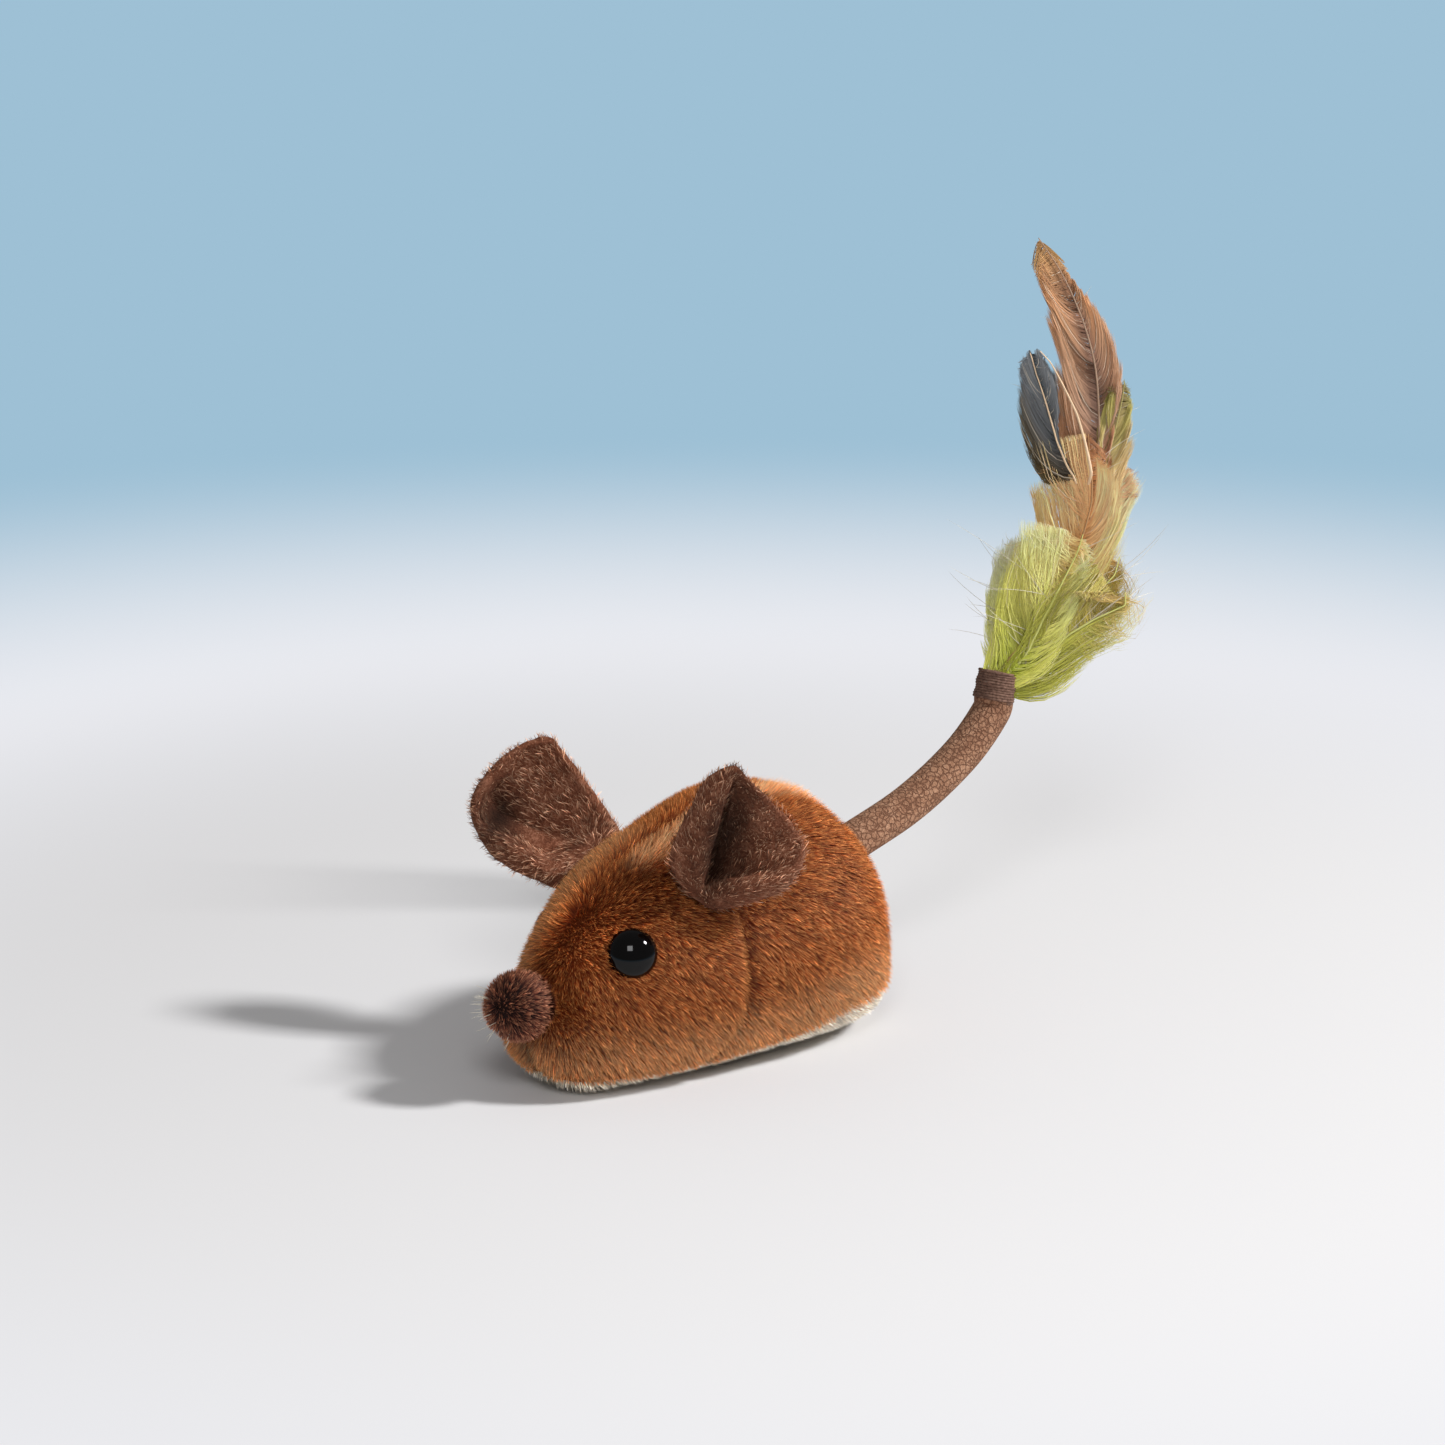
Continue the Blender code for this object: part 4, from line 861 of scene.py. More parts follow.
def area_light(name, where, size, power):
    data = bpy.data.lights.new(name, "AREA")
    data.size = size
    data.energy = power
    lamp = add_object(name, data)
    lamp.location = where
    lamp.rotation_euler = (Vector(light_target) - Vector(where)).to_track_quat("-Z", "Y").to_euler()


def seen_directly(tree, gloss=True):
    """1 for the rays that see the background itself, in the view, through glass and, if wanted, in gloss."""
    path = add_node(tree, "LightPath")
    found = path.outputs["Is Camera Ray"]
    for name in ("Is Transmission Ray", "Is Glossy Ray")[: 1 + gloss]:
        found = sum_up(tree, "MAXIMUM", found, path.outputs[name])
    return found


def make_world():
    world = bpy.data.worlds.new("studio")
    world.use_nodes = True
    bpy.context.scene.world = world
    tree = world.node_tree
    tone = mix(tree, seen_directly(tree, False), (world_light_share,) * 3 + (1,), rgba(far_tone))
    put(tree, tree.nodes["Background"].inputs["Color"], tone)


def make_floor():
    """A pale floor that fades to a plain pale colour and then to the backdrop's, away from the object."""
    look, tree, shader = new_look("floor", floor_tone, 0.9, Specular_IOR_Level=0.1)
    away = add_node(tree, "VectorMath", operation="LENGTH", Vector=place_node(tree)).outputs["Value"]
    seen = seen_directly(tree)
    found = shader.outputs[0]
    for tone, (start, end) in ((pale_tone, pale_fade), (far_tone, far_fade)):
        fade = add_node(tree, "MapRange", interpolation_type="SMOOTHSTEP", From_Min=start, From_Max=end)
        put(tree, fade.inputs["Value"], away)
        plain = add_node(tree, "Emission", Color=rgba(tone)).outputs[0]
        mixed = add_node(tree, "MixShader")
        for index, value in enumerate((sum_up(tree, "MULTIPLY", fade.outputs["Result"], seen), found, plain)):
            put(tree, mixed.inputs[index], value)
        found = mixed.outputs[0]
    put(tree, tree.nodes["Material Output"].inputs["Surface"], found)
    half = floor_size / 2
    mesh = bpy.data.meshes.new("floor")
    corners = [(-half, -half, 0), (half, -half, 0), (half, half, 0), (-half, half, 0)]
    mesh.from_pydata(corners, [], [(0, 1, 2, 3)])
    mesh.materials.append(look)
    add_object("floor", mesh)


make_view()
area_light("key", key_place, key_size, key_power)
area_light("fill", fill_place, fill_size, fill_power)
make_world()
make_floor()
bpy.context.scene.view_settings.view_transform = "Standard"


# The cover


def cap_ring(edge, share, way):
    """A ring of a rounded end, this share of the way to its middle."""
    size = 1 - share
    centre = edge.mean(axis=0)
    return centre + (edge - centre) * size + np.array([0, way * rump_bulge * sqrt(1 - size**2), 0])


def body_mesh(inset):
    """The body's whole form with rounded ends, as points and faces."""
    along = (1 - np.cos(np.linspace(0, pi, skin_stations))) / 2
    turns = np.linspace(0, 2 * pi, skin_turns, endpoint=False)
    rings = [section_points(np.full(skin_turns, share), turns, inset) for share in along]
    shares = [k / skin_cap_rings for k in range(1, skin_cap_rings)]
    front = [cap_ring(rings[0], share, -1) for share in shares[::-1]]
    rear = [cap_ring(rings[-1], share, 1) for share in shares]
    rings = front + rings + rear
    return np.concatenate(rings), grid_faces(len(rings), skin_turns, True)


def neck_seam(points):
    """Where the neck seam runs: it leans back up the cheek, as in the photograph."""
    return place[1] + neck_seam_y - seam_forward + seam_back * smooth_step(seam_low, seam_high, points[:, 2])


def seam_groove(points):
    """How far the cloth is drawn in at the neck seam and along the middle one, for each point."""
    away = (points[:, 1] - neck_seam(points)) / groove_width
    neck = groove_depth * np.exp(-(away**2)) * (1 - 0.8 * top_share(points))
    middle = np.exp(-(((points[:, 0] - place[0]) / groove_width) ** 2))
    return np.maximum(neck, middle_groove_depth * middle * (top_share(points) + 1.6 * chin_share(points)))


def trim(obj, where, way, inside_only=None):
    """Cuts a piece by a plane and takes away what lies on the far side."""
    bm = bmesh.new()
    bm.from_mesh(obj.data)
    geometry = bm.verts[:] + bm.edges[:] + bm.faces[:]
    bmesh.ops.bisect_plane(bm, geom=geometry, plane_co=where, plane_no=way, clear_outer=inside_only is None)
    if inside_only is not None:
        gone = [f for f in bm.faces if inside_only(f.calc_center_median())]
        bmesh.ops.delete(bm, geom=gone, context="FACES")
    bm.to_mesh(obj.data)
    bm.free()
    obj.data.update()


def fuller_muzzle(points):
    """The cover with its muzzle swelling forward under the nose, as in the photograph."""
    near = np.exp(-(((points[:, 0] - place[0]) / muzzle_width) ** 2))
    near = near * smooth_step(muzzle_top, muzzle_full, points[:, 2])
    forward = smooth_step(muzzle_rear, muzzle_front, points[:, 1])
    return points - np.array([0, muzzle_swell, 0]) * (near * forward)[:, None]


def seam_plane():
    y = place[1] + neck_seam_y
    slope = (belly_seam_rear - belly_seam_front) / body_length
    return Vector((0, y, belly_seam(y))), Vector((0, -slope, 1)).normalized()


def solidify(obj, thickness):
    made = obj.modifiers.new("thickness", "SOLIDIFY")
    made.thickness = thickness
    return apply_modifiers(obj)


def make_cover_skin(look):
    """The brown cloth under the pile, from the belly seam up."""
    points, faces = body_mesh(pile_inset)
    middle = points.mean(axis=0)
    inward = unit((middle - points) * np.array([1, 0, 1]))
    points = fuller_muzzle(points + inward * seam_groove(points)[:, None])
    panels = [part + "_panel_" + side for part in ("head", "body") for side in ("left", "right")]
    obj = make_piece("cover_cloth", points, faces, look, "mouse", "plush_brown", panels)
    where, way = seam_plane()
    trim(obj, where, -way)
    return obj


def window_edges():
    """The belly window's front, rear and half width, in the frame of the solids."""
    middle = window_y + place[1]
    return middle - window_length / 2, middle + window_length / 2, window_width / 2


def make_belly_skin(look):
    """The cream cloth under the belly, with its window."""
    points, faces = body_mesh(belly_inset)
    points = fuller_muzzle(points)
    obj = make_piece("belly_cloth", points, faces, look, "mouse", "plush_cream", ["belly_panel"])
    where, way = seam_plane()
    trim(obj, where, way)
    front, rear, half = window_edges()
    x = place[0]

    def in_window(centre):
        return front < centre.y < rear and abs(centre.x - x) < half and centre.z < belly_inset

    for y in (front, rear):
        trim(obj, Vector((x, y, 0)), Vector((0, 1, 0)), in_window)
    for side in (-half, half):
        trim(obj, Vector((x + side, 0, 0)), Vector((1, 0, 0)), in_window)
    return solidify(obj, skin_thick)


def body_flow(roots, normals, rng):
    """The way the pile lies: back along the body and down its sides, with slow swirls."""
    local = roots - place
    side = np.clip(local[:, 0] / (body_width / 8), -1, 1)
    share = np.clip(local[:, 2] / body_height, 0, 1)
    angle = np.radians(35 + 42 * (1 - share))
    zero = np.zeros(len(roots))
    back = lay_flat(np.stack([zero, zero + 1, zero], axis=1), normals)
    down = lay_flat(np.stack([side * 0.7, zero, zero - 1], axis=1), normals)
    flows = back * np.cos(angle)[:, None] + down * np.sin(angle)[:, None]
    swirl = np.sin(local @ np.array(swirl_scales[0])) + np.sin(local @ np.array(swirl_scales[1]) + 1.3)
    return turn_flows(unit(flows), normals, 0.14 * swirl)


def turn_flows(flows, normals, angles):
    """Turns each direction in its surface by an angle."""
    across = np.cross(normals, flows)
    return unit(flows * np.cos(angles)[:, None] + across * np.sin(angles)[:, None])


def ramp_tones(tones, shares):
    """Colours between the given ones (root to tip) at these shares."""
    stops = np.linspace(0, 1, len(tones))
    table = linear(tones)
    return np.stack([np.interp(shares, stops, table[:, k]) for k in range(3)], axis=-1)


def far_from(points, centre, radius):
    return np.linalg.norm(points - np.array(centre), axis=1) > radius


def grow_pile(
    name, obj, per_area, length, tones, look, body, slot, rng, flow_of, keep=None, clump=pile_clump,
    stand=1.0, pull=0.4, width=pile_width, floor=False, length_of=None, shade_of=None, painted_light_of=None,
):
    """Pile over a piece's cloth, in groups small enough to keep every strand."""
    roots, normals = scatter(obj, per_area, rng)
    if keep is not None:
        kept = keep(roots, normals)
        roots, normals = roots[kept], normals[kept]
    flows = flow_of(roots, normals, rng)
    count = len(roots)
    flows = turn_flows(flows, normals, rng.normal(0, 0.16, count))
    lengths = length * rng.uniform(0.75, 1.15, count)
    shade = np.exp(rng.normal(-0.06, 0.26, count))
    # Some strands are painted brighter, as highlights on single hairs
    highlighted = rng.random(count) < painted_highlight_share
    shade = np.where(highlighted, shade * painted_highlight_gain, shade)
    if length_of is not None:
        lengths = lengths * length_of(roots)
    if shade_of is not None:
        shade = shade * shade_of(roots)
    start, end = (np.radians(rng.uniform(low, high, count)) * stand for low, high in pile_angles)
    lines = strand_lines(roots, normals, flows, lengths, start, end)
    shade = shade * (clump_shades[0] + clump_shades[1] * clump_strands(lines, clump, pull, rng))
    if floor:
        lines[:, :, 2] = np.maximum(lines[:, :, 2], least_height)
    tangents = unit(lines[:, 2] - lines[:, 0])
    sides = rolled(unit(np.cross(tangents, normals)), tangents, rng.normal(0, 0.45, count))
    shading = unit(normals * 0.6 + np.cross(sides, tangents) * 0.4)
    shares = np.linspace(0, 1, lines.shape[1])[None, :] + rng.normal(0, 0.08, count)[:, None]
    colours = ramp_tones(tones, np.clip(shares, 0, 1)) * shade[:, None, None]
    # Painted light: the colours mixed towards a pale tone by the given share
    if painted_light_of is not None:
        pale = painted_light_of(roots) * rng.uniform(0.2, 1.1, count)
        colours = colours + (linear(painted_light_tone) - colours) * pale[:, None, None]
    widths = width * rng.uniform(0.75, 1.25, count) * np.where(highlighted, highlight_strand_width, 1)
    groups = np.array_split(np.argsort(roots[:, 1], kind="stable"), max(1, -(-count // pile_group_limit)))
    for i, group in enumerate(groups):
        label = name if len(groups) == 1 else name + "_" + str(i + 1)
        parts = (lines[group], sides[group], widths[group], colours[group], shading[group])
        build_strands(label, *parts, look, body, slot)


def rolled(sides, tangents, rolls):
    """Turns each strand's side about the strand by an angle."""
    rolls = rolls[:, None]
    return sides * np.cos(rolls) + np.cross(tangents, sides) * np.sin(rolls)


def skin_at(y, height, side):
    """The cover's point at this length and height on one side, and its outward normal."""
    share = (y + half_length) / body_length
    _, _, middle, high = (found[0] for found in section_form(share))
    turn = asin(((height - middle) / (high - middle)) ** (upper_power_share / 2))
    if side < 0:
        turn = pi - turn
    step = 0.02
    around = np.array([(0, 0), (-step, 0), (step, 0), (0, -step), (0, step)]) + (share, turn)
    found = section_points(*around.T, 0)
    normal = np.cross(found[4] - found[3], found[2] - found[1])
    normal = unit(normal) * (1 if normal[0] * side > 0 else -1)
    return Vector(found[0]), Vector(normal)


def aim_frame(origin, direction, side=Vector((0, 0, 1))):
    """A frame whose Z axis lies along direction, with its X axis as near to side as it can be."""
    z = Vector(direction).normalized()
    x = (Vector(side) - z * z.dot(Vector(side))).normalized()
    made = Matrix((x, z.cross(x), z)).transposed().to_4x4()
    made.translation = origin
    return made


def turned_points(profile, sides, where):
    """Points and faces of a solid of revolution, from one end point on its axis to the other."""
    turns = [2 * pi * i / sides for i in range(sides)]
    points = [where @ Vector((0, 0, profile[0][1]))]
    for radius, height in profile[1:-1]:
        points += [where @ Vector((radius * cos(a), radius * sin(a), height)) for a in turns]
    points.append(where @ Vector((0, 0, profile[-1][1])))
    rows = len(profile) - 2
    last = 1 + (rows - 1) * sides
    faces = [(0, 1 + (i + 1) % sides, 1 + i) for i in range(sides)]
    faces += [tuple(corner + 1 for corner in face) for face in grid_faces(rows, sides)]
    faces += [(len(points) - 1, last + i, last + (i + 1) % sides) for i in range(sides)]
    return points, faces


def eye_frames():
    return {side: aim_frame(*skin_at(eye_y, eye_height, sign)) for side, sign in (("left", 1), ("right", -1))}


def make_eyes(look, frames):
    radius = eye_look_diameter / 2
    for side, where in frames.items():
        seat = fit_gap - eye_sink - eye_look_sinks[side]
        turns = [pi / 2 * i / eye_rows for i in range(eye_rows)]
        profile = [(0, seat - eye_sink), (radius, seat - eye_sink)]
        profile += [(radius * cos(a), seat + eye_bulge * sin(a)) for a in turns]
        profile += [(0, seat + eye_bulge)]
        points, faces = turned_points(profile, eye_sides, where)
        make_piece("eye_bead_" + side, points, faces, look, "mouse", "black_bead", ["eye_" + side])


def nose_frame():
    tilt = radians(nose_tilt)
    _, low, _, high = (found[0] for found in section_form(0.0))
    front = body_place + Vector((0, -half_length - fit_gap - nose_diameter / 2 * sin(tilt), (high + low) / 2))
    return aim_frame(front, Vector((0, -cos(tilt), sin(tilt))))


def nose_centre(where):
    return where.translation + where.to_3x3() @ Vector((0, 0, nose_ball_out))


def make_nose(look, where):
    """The nose's cloth: a ball a little inside the outline that its pile fills."""
    radius = nose_ball_diameter / 2
    turns = [-pi / 2 + pi * i / nose_rows for i in range(1, nose_rows)]
    profile = [(0, nose_ball_out - radius)]
    profile += [(radius * cos(a), nose_ball_out + radius * sin(a)) for a in turns]
    profile += [(0, nose_ball_out + radius)]
    points, faces = turned_points(profile, nose_sides, where)
    return make_piece("nose_cloth", points, faces, look, "mouse", "nose_plush", ["nose_patch"])


# Ears


def ear_frame(side):
    """The ear's frame: origin at its root, Z up the ear, Y towards the back of its cup."""
    sign = 1 if side == "left" else -1
    lean, tip, turn = radians(ear_leans[side]), radians(ear_tips[side]), radians(ear_turns[side])
    up = Vector((sign * sin(lean) * cos(tip), sin(tip), cos(lean) * cos(tip))).normalized()
    back = Vector((-sign * sin(turn), cos(turn), 0))
    back = (back - up * up.dot(back)).normalized()
    x = ear_xs[side]
    y = neck_seam_y + ear_neck_offsets[side]
    wide, _, middle, high = (found[0] for found in section_form((y + half_length) / body_length))
    height = middle + (high - middle) * (1 - (x / wide) ** upper_power_share) ** (1 / upper_power_share)
    made = Matrix((back.cross(up), back, up)).transposed().to_4x4()
    made.translation = body_place + Vector((sign * x, y, height + ear_root_diameter / 8))
    return made


def closed_curve(points, count):
    """A smooth closed curve through these points, as this many points."""
    points = np.array(points, float)
    t = np.arange(count) * len(points) / count
    i = t.astype(int)
    f = (t - i)[:, None]
    before, start, end, after = (points[(i + k) % len(points)] for k in (-1, 0, 1, 2))
    bend = 2 * before - 5 * start + 4 * end - after
    return (2 * start + (end - before) * f + bend * f**2 + (3 * start - before - 3 * end + after) * f**3) / 2


def ear_rings(side):
    """Rings over the ear's shell, from the middle of its back round the rim to the middle of its hollow."""
    outline, rim, floor = (closed_curve(loop, ear_outline_points) for loop in ear_loop_shares[side])
    near_root = np.exp(-((outline[:, 0] ** 2 + outline[:, 1] ** 2) / 0.25))[:, None]
    outline[:, :2] += near_root * ear_tuck_shares[side]
    floor[:, 2] *= ear_floor_share
    middle = outline.mean(axis=0) * 0.8
    rings = []
    for size, depth in ear_back_shares:
        ring = middle + (outline - middle) * size
        ring[:, 2] += depth * np.clip(ring[:, 1] * 2.5, 0.25, 1)
        rings.append(ring)
    lip = (outline + rim) / 2
    lip[:, 2] = np.minimum(outline[:, 2], rim[:, 2]) - ear_lip_share
    inner = rim + (floor - rim) * 0.22
    inner[:, 2] = rim[:, 2] + ear_lip_share
    rings += [outline, lip, rim, inner, rim + (floor - rim) * 0.7, floor]
    rings.append(floor.mean(axis=0) + (floor - floor.mean(axis=0)) * 0.5)
    return np.stack(rings)


def painted_ear_shade(side):
    """A function for the painted shade in the ear's hollow: the share of colour kept at points on its cloth.
    """
    root = np.array(ear_frame(side).translation)
    right, up, back = view_axes()
    x, z, wide, high, lean = ear_hollow_shares[side]

    def shade(points, normals=None):
        local = (points - root) / ear_height
        rise = local @ up - z
        away = ((local @ right - x - lean * rise) / wide) ** 2 + (rise / high) ** 2
        front = local @ back + ear_facing_leans[side] * -(local @ up)
        front = smooth_step(-0.40, -0.14, front)
        return 1 - ear_hollow_dark * np.exp(-away) * front

    return shade


def make_ear(side, look):
    loops = ear_rings(side)
    table = [(k, *ring.reshape(-1)) for k, ring in enumerate(loops)]
    steps = np.linspace(0, len(loops) - 1, (len(loops) - 1) * ear_ring_steps + 1)
    rings = rows_at(table, np.minimum(steps, len(loops) - 1.000001)).reshape(len(steps), -1, 3)
    right, up, back = view_axes()
    away = rings[:, :, 2] - ear_facing_leans[side] * rings[:, :, 1]
    root = np.array(ear_frame(side).translation)
    points = rings[:, :, :1] * right + rings[:, :, 1:2] * up - away[:, :, None] * back
    points = root + (points * ear_height).reshape(-1, 3)
    faces = grid_faces(len(steps), ear_outline_points, True)
    nodes = ["ear_" + side + "_back", "ear_" + side + "_front"]
    obj = make_piece("ear_cloth_" + side, points, faces, look, "ear_" + side, "suede_brown", nodes)
    wrinkle(obj, ear_wrinkle, ear_wrinkle_scale)
    # Paints the hollow's shade into the cloth's tint
    paint(obj, (255, 255, 255), painted_ear_shade(side)(points))
    return obj


def wrinkle(obj, amount, scale):
    """Moves a piece's points in and out by soft noise."""
    points, normals, _ = mesh_arrays(obj)
    moved = []
    for point, normal in zip(points, normals):
        where = Vector(point) * scale
        moved.append(point + normal * amount * (noise_value(where) + 0.5 * noise_value(where * 2.7)))
    obj.data.vertices.foreach_set("co", np.array(moved, np.float32).reshape(-1))
    obj.data.update()


def ear_flow(side):
    """A function for the way the nap lies: up from the ear's root, loosely."""
    root = np.array(ear_frame(side).translation)

    def flow(roots, normals, rng):
        away = unit(roots - root)
        return unit(lay_flat(away + rng.normal(0, 0.35, roots.shape), normals))

    return flow


# Tail


def tail_points():
    """The tail's joint centres, from its root to the binding, and the binding's direction."""
    points = [body_place + Vector((0, half_length - tail_root_inset, tail_root_height))]
    for length, slope in zip(tail_lengths, tail_slopes):
        angle = radians(slope)
        points.append(points[-1] + length * Vector((0, cos(angle), sin(angle))))
    angle = radians(binding_slope)
    return points, Vector((0, cos(angle), sin(angle)))


def smooth_path(points, start, end, count):
    """Points along the tail's centre line between two places, counted in whole joints."""
    places = np.linspace(start, end, count)
    table = [(k, *points[k]) for k in range(len(points))]
    return rows_at(table, np.clip(places, 0, len(points) - 1 - 1e-9))


def ring_points(path, radii, side, up, sides):
    """Rings of points round a path."""
    turns = np.linspace(0, 2 * pi, sides, endpoint=False)[None, :, None]
    round_path = np.cos(turns) * side[:, None] + np.sin(turns) * up[:, None]
    return (path[:, None] + np.reshape(radii, (-1, 1, 1)) * round_path).reshape(-1, 3)


def tube(path, radii, sides):
    """A round tube along a path, open at its ends."""
    path = np.array(path)
    tangents = unit(np.gradient(path, axis=0))
    up = unit(np.cross(tangents, np.array([1.0, 0, 0])))
    return ring_points(path, radii, np.cross(up, tangents), up, sides), grid_faces(len(path), sides)


def make_tail(look):
    """The suede sleeve in sections that meet at each joint; only the first rides on a body."""
    points, up = tail_points()
    line = points + [points[-1] + up * binding_length * 0.4]
    end = len(line) - 1
    sections = (
        ("base", 0.0, 0.6, ("tail_base",), ("tail_sleeve_base", "tail_core_base")),
        ("first", 0.6, 1.55, ("tail_base", "tail_middle"), ("tail_sleeve_middle", "tail_core_middle")),
        ("second", 1.55, 2.5, ("tail_middle", "tail_tip"), ("tail_sleeve_tip", "tail_core_tip")),
        ("last", 2.5, end, ("tail_tip", "tuft"), ()),
    )
    for joint, (name, low, high, bodies, nodes) in enumerate(sections):
        verts, faces = tube(smooth_path(line, low, high, tail_stations), tail_radius, tube_sides)
        obj = make_piece("tail_cloth_" + name, verts, faces, look, None, "suede_brown", nodes)
        if joint == 0:
            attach(obj, bodies[0])
        else:
            bend = smooth_path(line, joint - blend_shares[0], min(joint + blend_shares[1], end), 2)
            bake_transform(obj)


def make_binding(look):
    """Thread wound round the tail's end and the feathers' quills."""
    where = tuft_frame()
    low, high = binding_length * 0.30, binding_length
    turns = int((high - low) / thread_step)
    count = turns * thread_points
    path = []
    for i in range(count + 1):
        angle = 2 * pi * i / thread_points
        swell = binding_diameter / 2 - thread_diameter / 2 + binding_lump * sin(angle / turns * 2.1)
        path.append(where @ Vector((swell * cos(angle), swell * sin(angle), low + (high - low) * i / count)))
    sweep("binding_thread", path, thread_diameter / 2, 6, look, "tuft", "binding_thread", ["tail_binding"])
    core = binding_diameter / 2 - thread_diameter
    foot = low - thread_diameter
    profile = [(0, foot), (core, foot), (core, high), (0, high + binding_crown)]
    make_piece("binding_core", *turned_points(profile, 32, where), look, "tuft", "binding_thread")


def sweep(name, path, radius, sides, look, body, slot, nodes=()):
    """A thread of even thickness along a path."""
    path = np.array([tuple(p) for p in path])
    tangents = unit(np.gradient(path, axis=0))
    side = unit(np.cross(tangents, np.array([0.13, 0.27, 0.95])))
    points = ring_points(path, radius, side, np.cross(side, tangents), sides)
    make_piece(name, points, grid_faces(len(path), sides, True), look, body, slot, nodes)


# Feathers


def tuft_frame():
    points, up = tail_points()
    return aim_frame(points[-1], up, (1, 0, 0))


def feather_points(shares, across, turn, layer, flare, where):
    """Points on a feather's sheet. Across is a distance from its shaft, over the sheet."""
    shares = np.atleast_1d(shares)
    back, inner, outer = rows_at(tuft_shares, shares).T
    ring = (0, quill_ring_inner, quill_ring_outer)[layer]
    spread = ((0 * inner, inner, outer)[layer] + flare * np.maximum(shares, 0) ** 2) * tuft_length + ring
    turned = np.array(where)[:3, :3]
    axis = turned[:, 2]
    base = np.array(where)[:3, 3] + axis * (binding_length + np.minimum(shares, 0) * tuft_length)[:, None]
    rise = np.stack([0 * back, back, shares], axis=-1) * tuft_length
    base = base + np.where(shares[:, None] > 0, rise, 0)
    across = np.broadcast_to(across, shares.shape)
    if layer:
        angle = turn + across / spread
        offset = np.stack([np.cos(angle), np.sin(angle), 0 * angle], axis=-1) * spread[:, None]
    else:
        offset = np.array([cos(turn), sin(turn), 0]) * -across[:, None]
    return base + np.where(shares[:, None] > 0, offset, offset @ turned.T)


def feather_path(name, shares, seen=None):
    """A feather's shaft as the view sees it, as far away as the solid's."""
    turn, layer, flare, _, nearer, _ = feathers[name]
    where = tuft_frame()
    middle = feather_points(shares, 0.0, 0.0, 0, 0.0, where)
    solid = feather_points(shares, 0.0, radians(turn), layer, flare, where)
    right, _, back = view_axes()
    seen = np.array(blade_shares_seen[name] if seen is None else seen)
    shift = np.interp(shares, seen[:, 0], seen[:, 1]) * tuft_length
    shift = shift * smooth_step(-0.05, max(seen[0, 0], 0.05), shares)
    depth = (solid - middle) @ back * feather_depth_share + nearer * smooth_step(0.05, 0.2, shares)
    if name == "slate":
        depth = depth - feather_dip * smooth_step(*feather_dip_shares, shares)
    return middle + right * shift[:, None] + back * depth[:, None]


def feather_frame(path, facing_turn):
    """Along a feather's shaft: its direction, its blade's way to the right, and the way its face looks."""
    right, _, back = view_axes()
    angle = radians(facing_turn)
    face = back * cos(angle) + right * sin(angle)
    along = unit(np.gradient(path, axis=0))
    across = unit(np.cross(along, np.broadcast_to(face, along.shape)))
    across = across * np.where((across @ right)[:, None] < 0, -1, 1)
    return along, across, np.cross(across, along)


def along_path(places, table_places, values):
    return np.stack([np.interp(places, table_places, values[:, k]) for k in range(values.shape[1])], axis=-1)


def smooth_noise(places, scale, seed):
    """A smooth random value, from -1 to 1, along a feather."""
    return np.array([noise_value(Vector((place * scale, seed * 7.31, 0.5))) for place in places])


def make_feathers(look, rng):
    low = -(binding_length * quill_depth_share - fit_gap) / tuft_length
    for seed, (name, facts) in enumerate(feathers.items()):
        outline = np.array(blade_shares_seen[name])
        shares = np.linspace(low, outline[-1, 0], shaft_stations)
        path = feather_path(name, shares)
        frames = feather_frame(path, facts[3])
        lift = smooth_step(0.0, 0.1, shares) * shaft_lift
        make_shaft(name, "shaft", path + frames[2] * lift[:, None], look)
        make_barbs(name, outline, shares, path, frames, look, rng, seed)
        if name == "slate":
            places = np.linspace(slate_quill_seen[0][0], slate_quill_seen[-1][0], shaft_stations)
            path = feather_path(name, places, slate_quill_seen)
            make_shaft(name, "quill", path + view_axes()[2] * slate_quill_lift, look)


def kind_of(name):
    return name.split("_")[0]


def blade_reach(outline, places, side):
    """How far a feather's blade reaches from its shaft on one side."""
    return np.where(side < 0, *(np.interp(places, outline[:, 0], outline[:, k]) for k in (2, 3)))


def make_shaft(name, part, path, look):
    """A shaft of a feather, which tapers to its tip."""
    verts, faces = tube(path, shaft_diameter / 2 * np.linspace(1, 0.25, len(path)), 8)
    obj = make_piece("feather_" + name + "_" + part, verts, faces, look, "tuft", "feather_" + kind_of(name))
    paint(obj, feather_tones[kind_of(name)][1])


def loose_hairs(name, starts, ways, lengths, tone, look, body, slot, rng):
    """Single pale hairs that stand off, slightly bent."""
    count = len(starts)
    bends = unit(np.cross(ways, rng.normal(0, 1, (count, 3))))
    steps = np.linspace(0, 1, hair_levels)[None, :, None]
    reach = lengths[:, None, None]
    lines = starts[:, None] + ways[:, None] * reach * steps + bends[:, None] * reach * hair_bend * steps**2
    sides = unit(np.cross(ways, np.broadcast_to(view_axes()[2], ways.shape)))
    colours = np.broadcast_to(linear(tone), lines.shape) * rng.uniform(0.8, 1.05, (count, 1, 1))
    build_strands(name, lines, sides, np.full(count, hair_width), colours, None, look, body, slot)


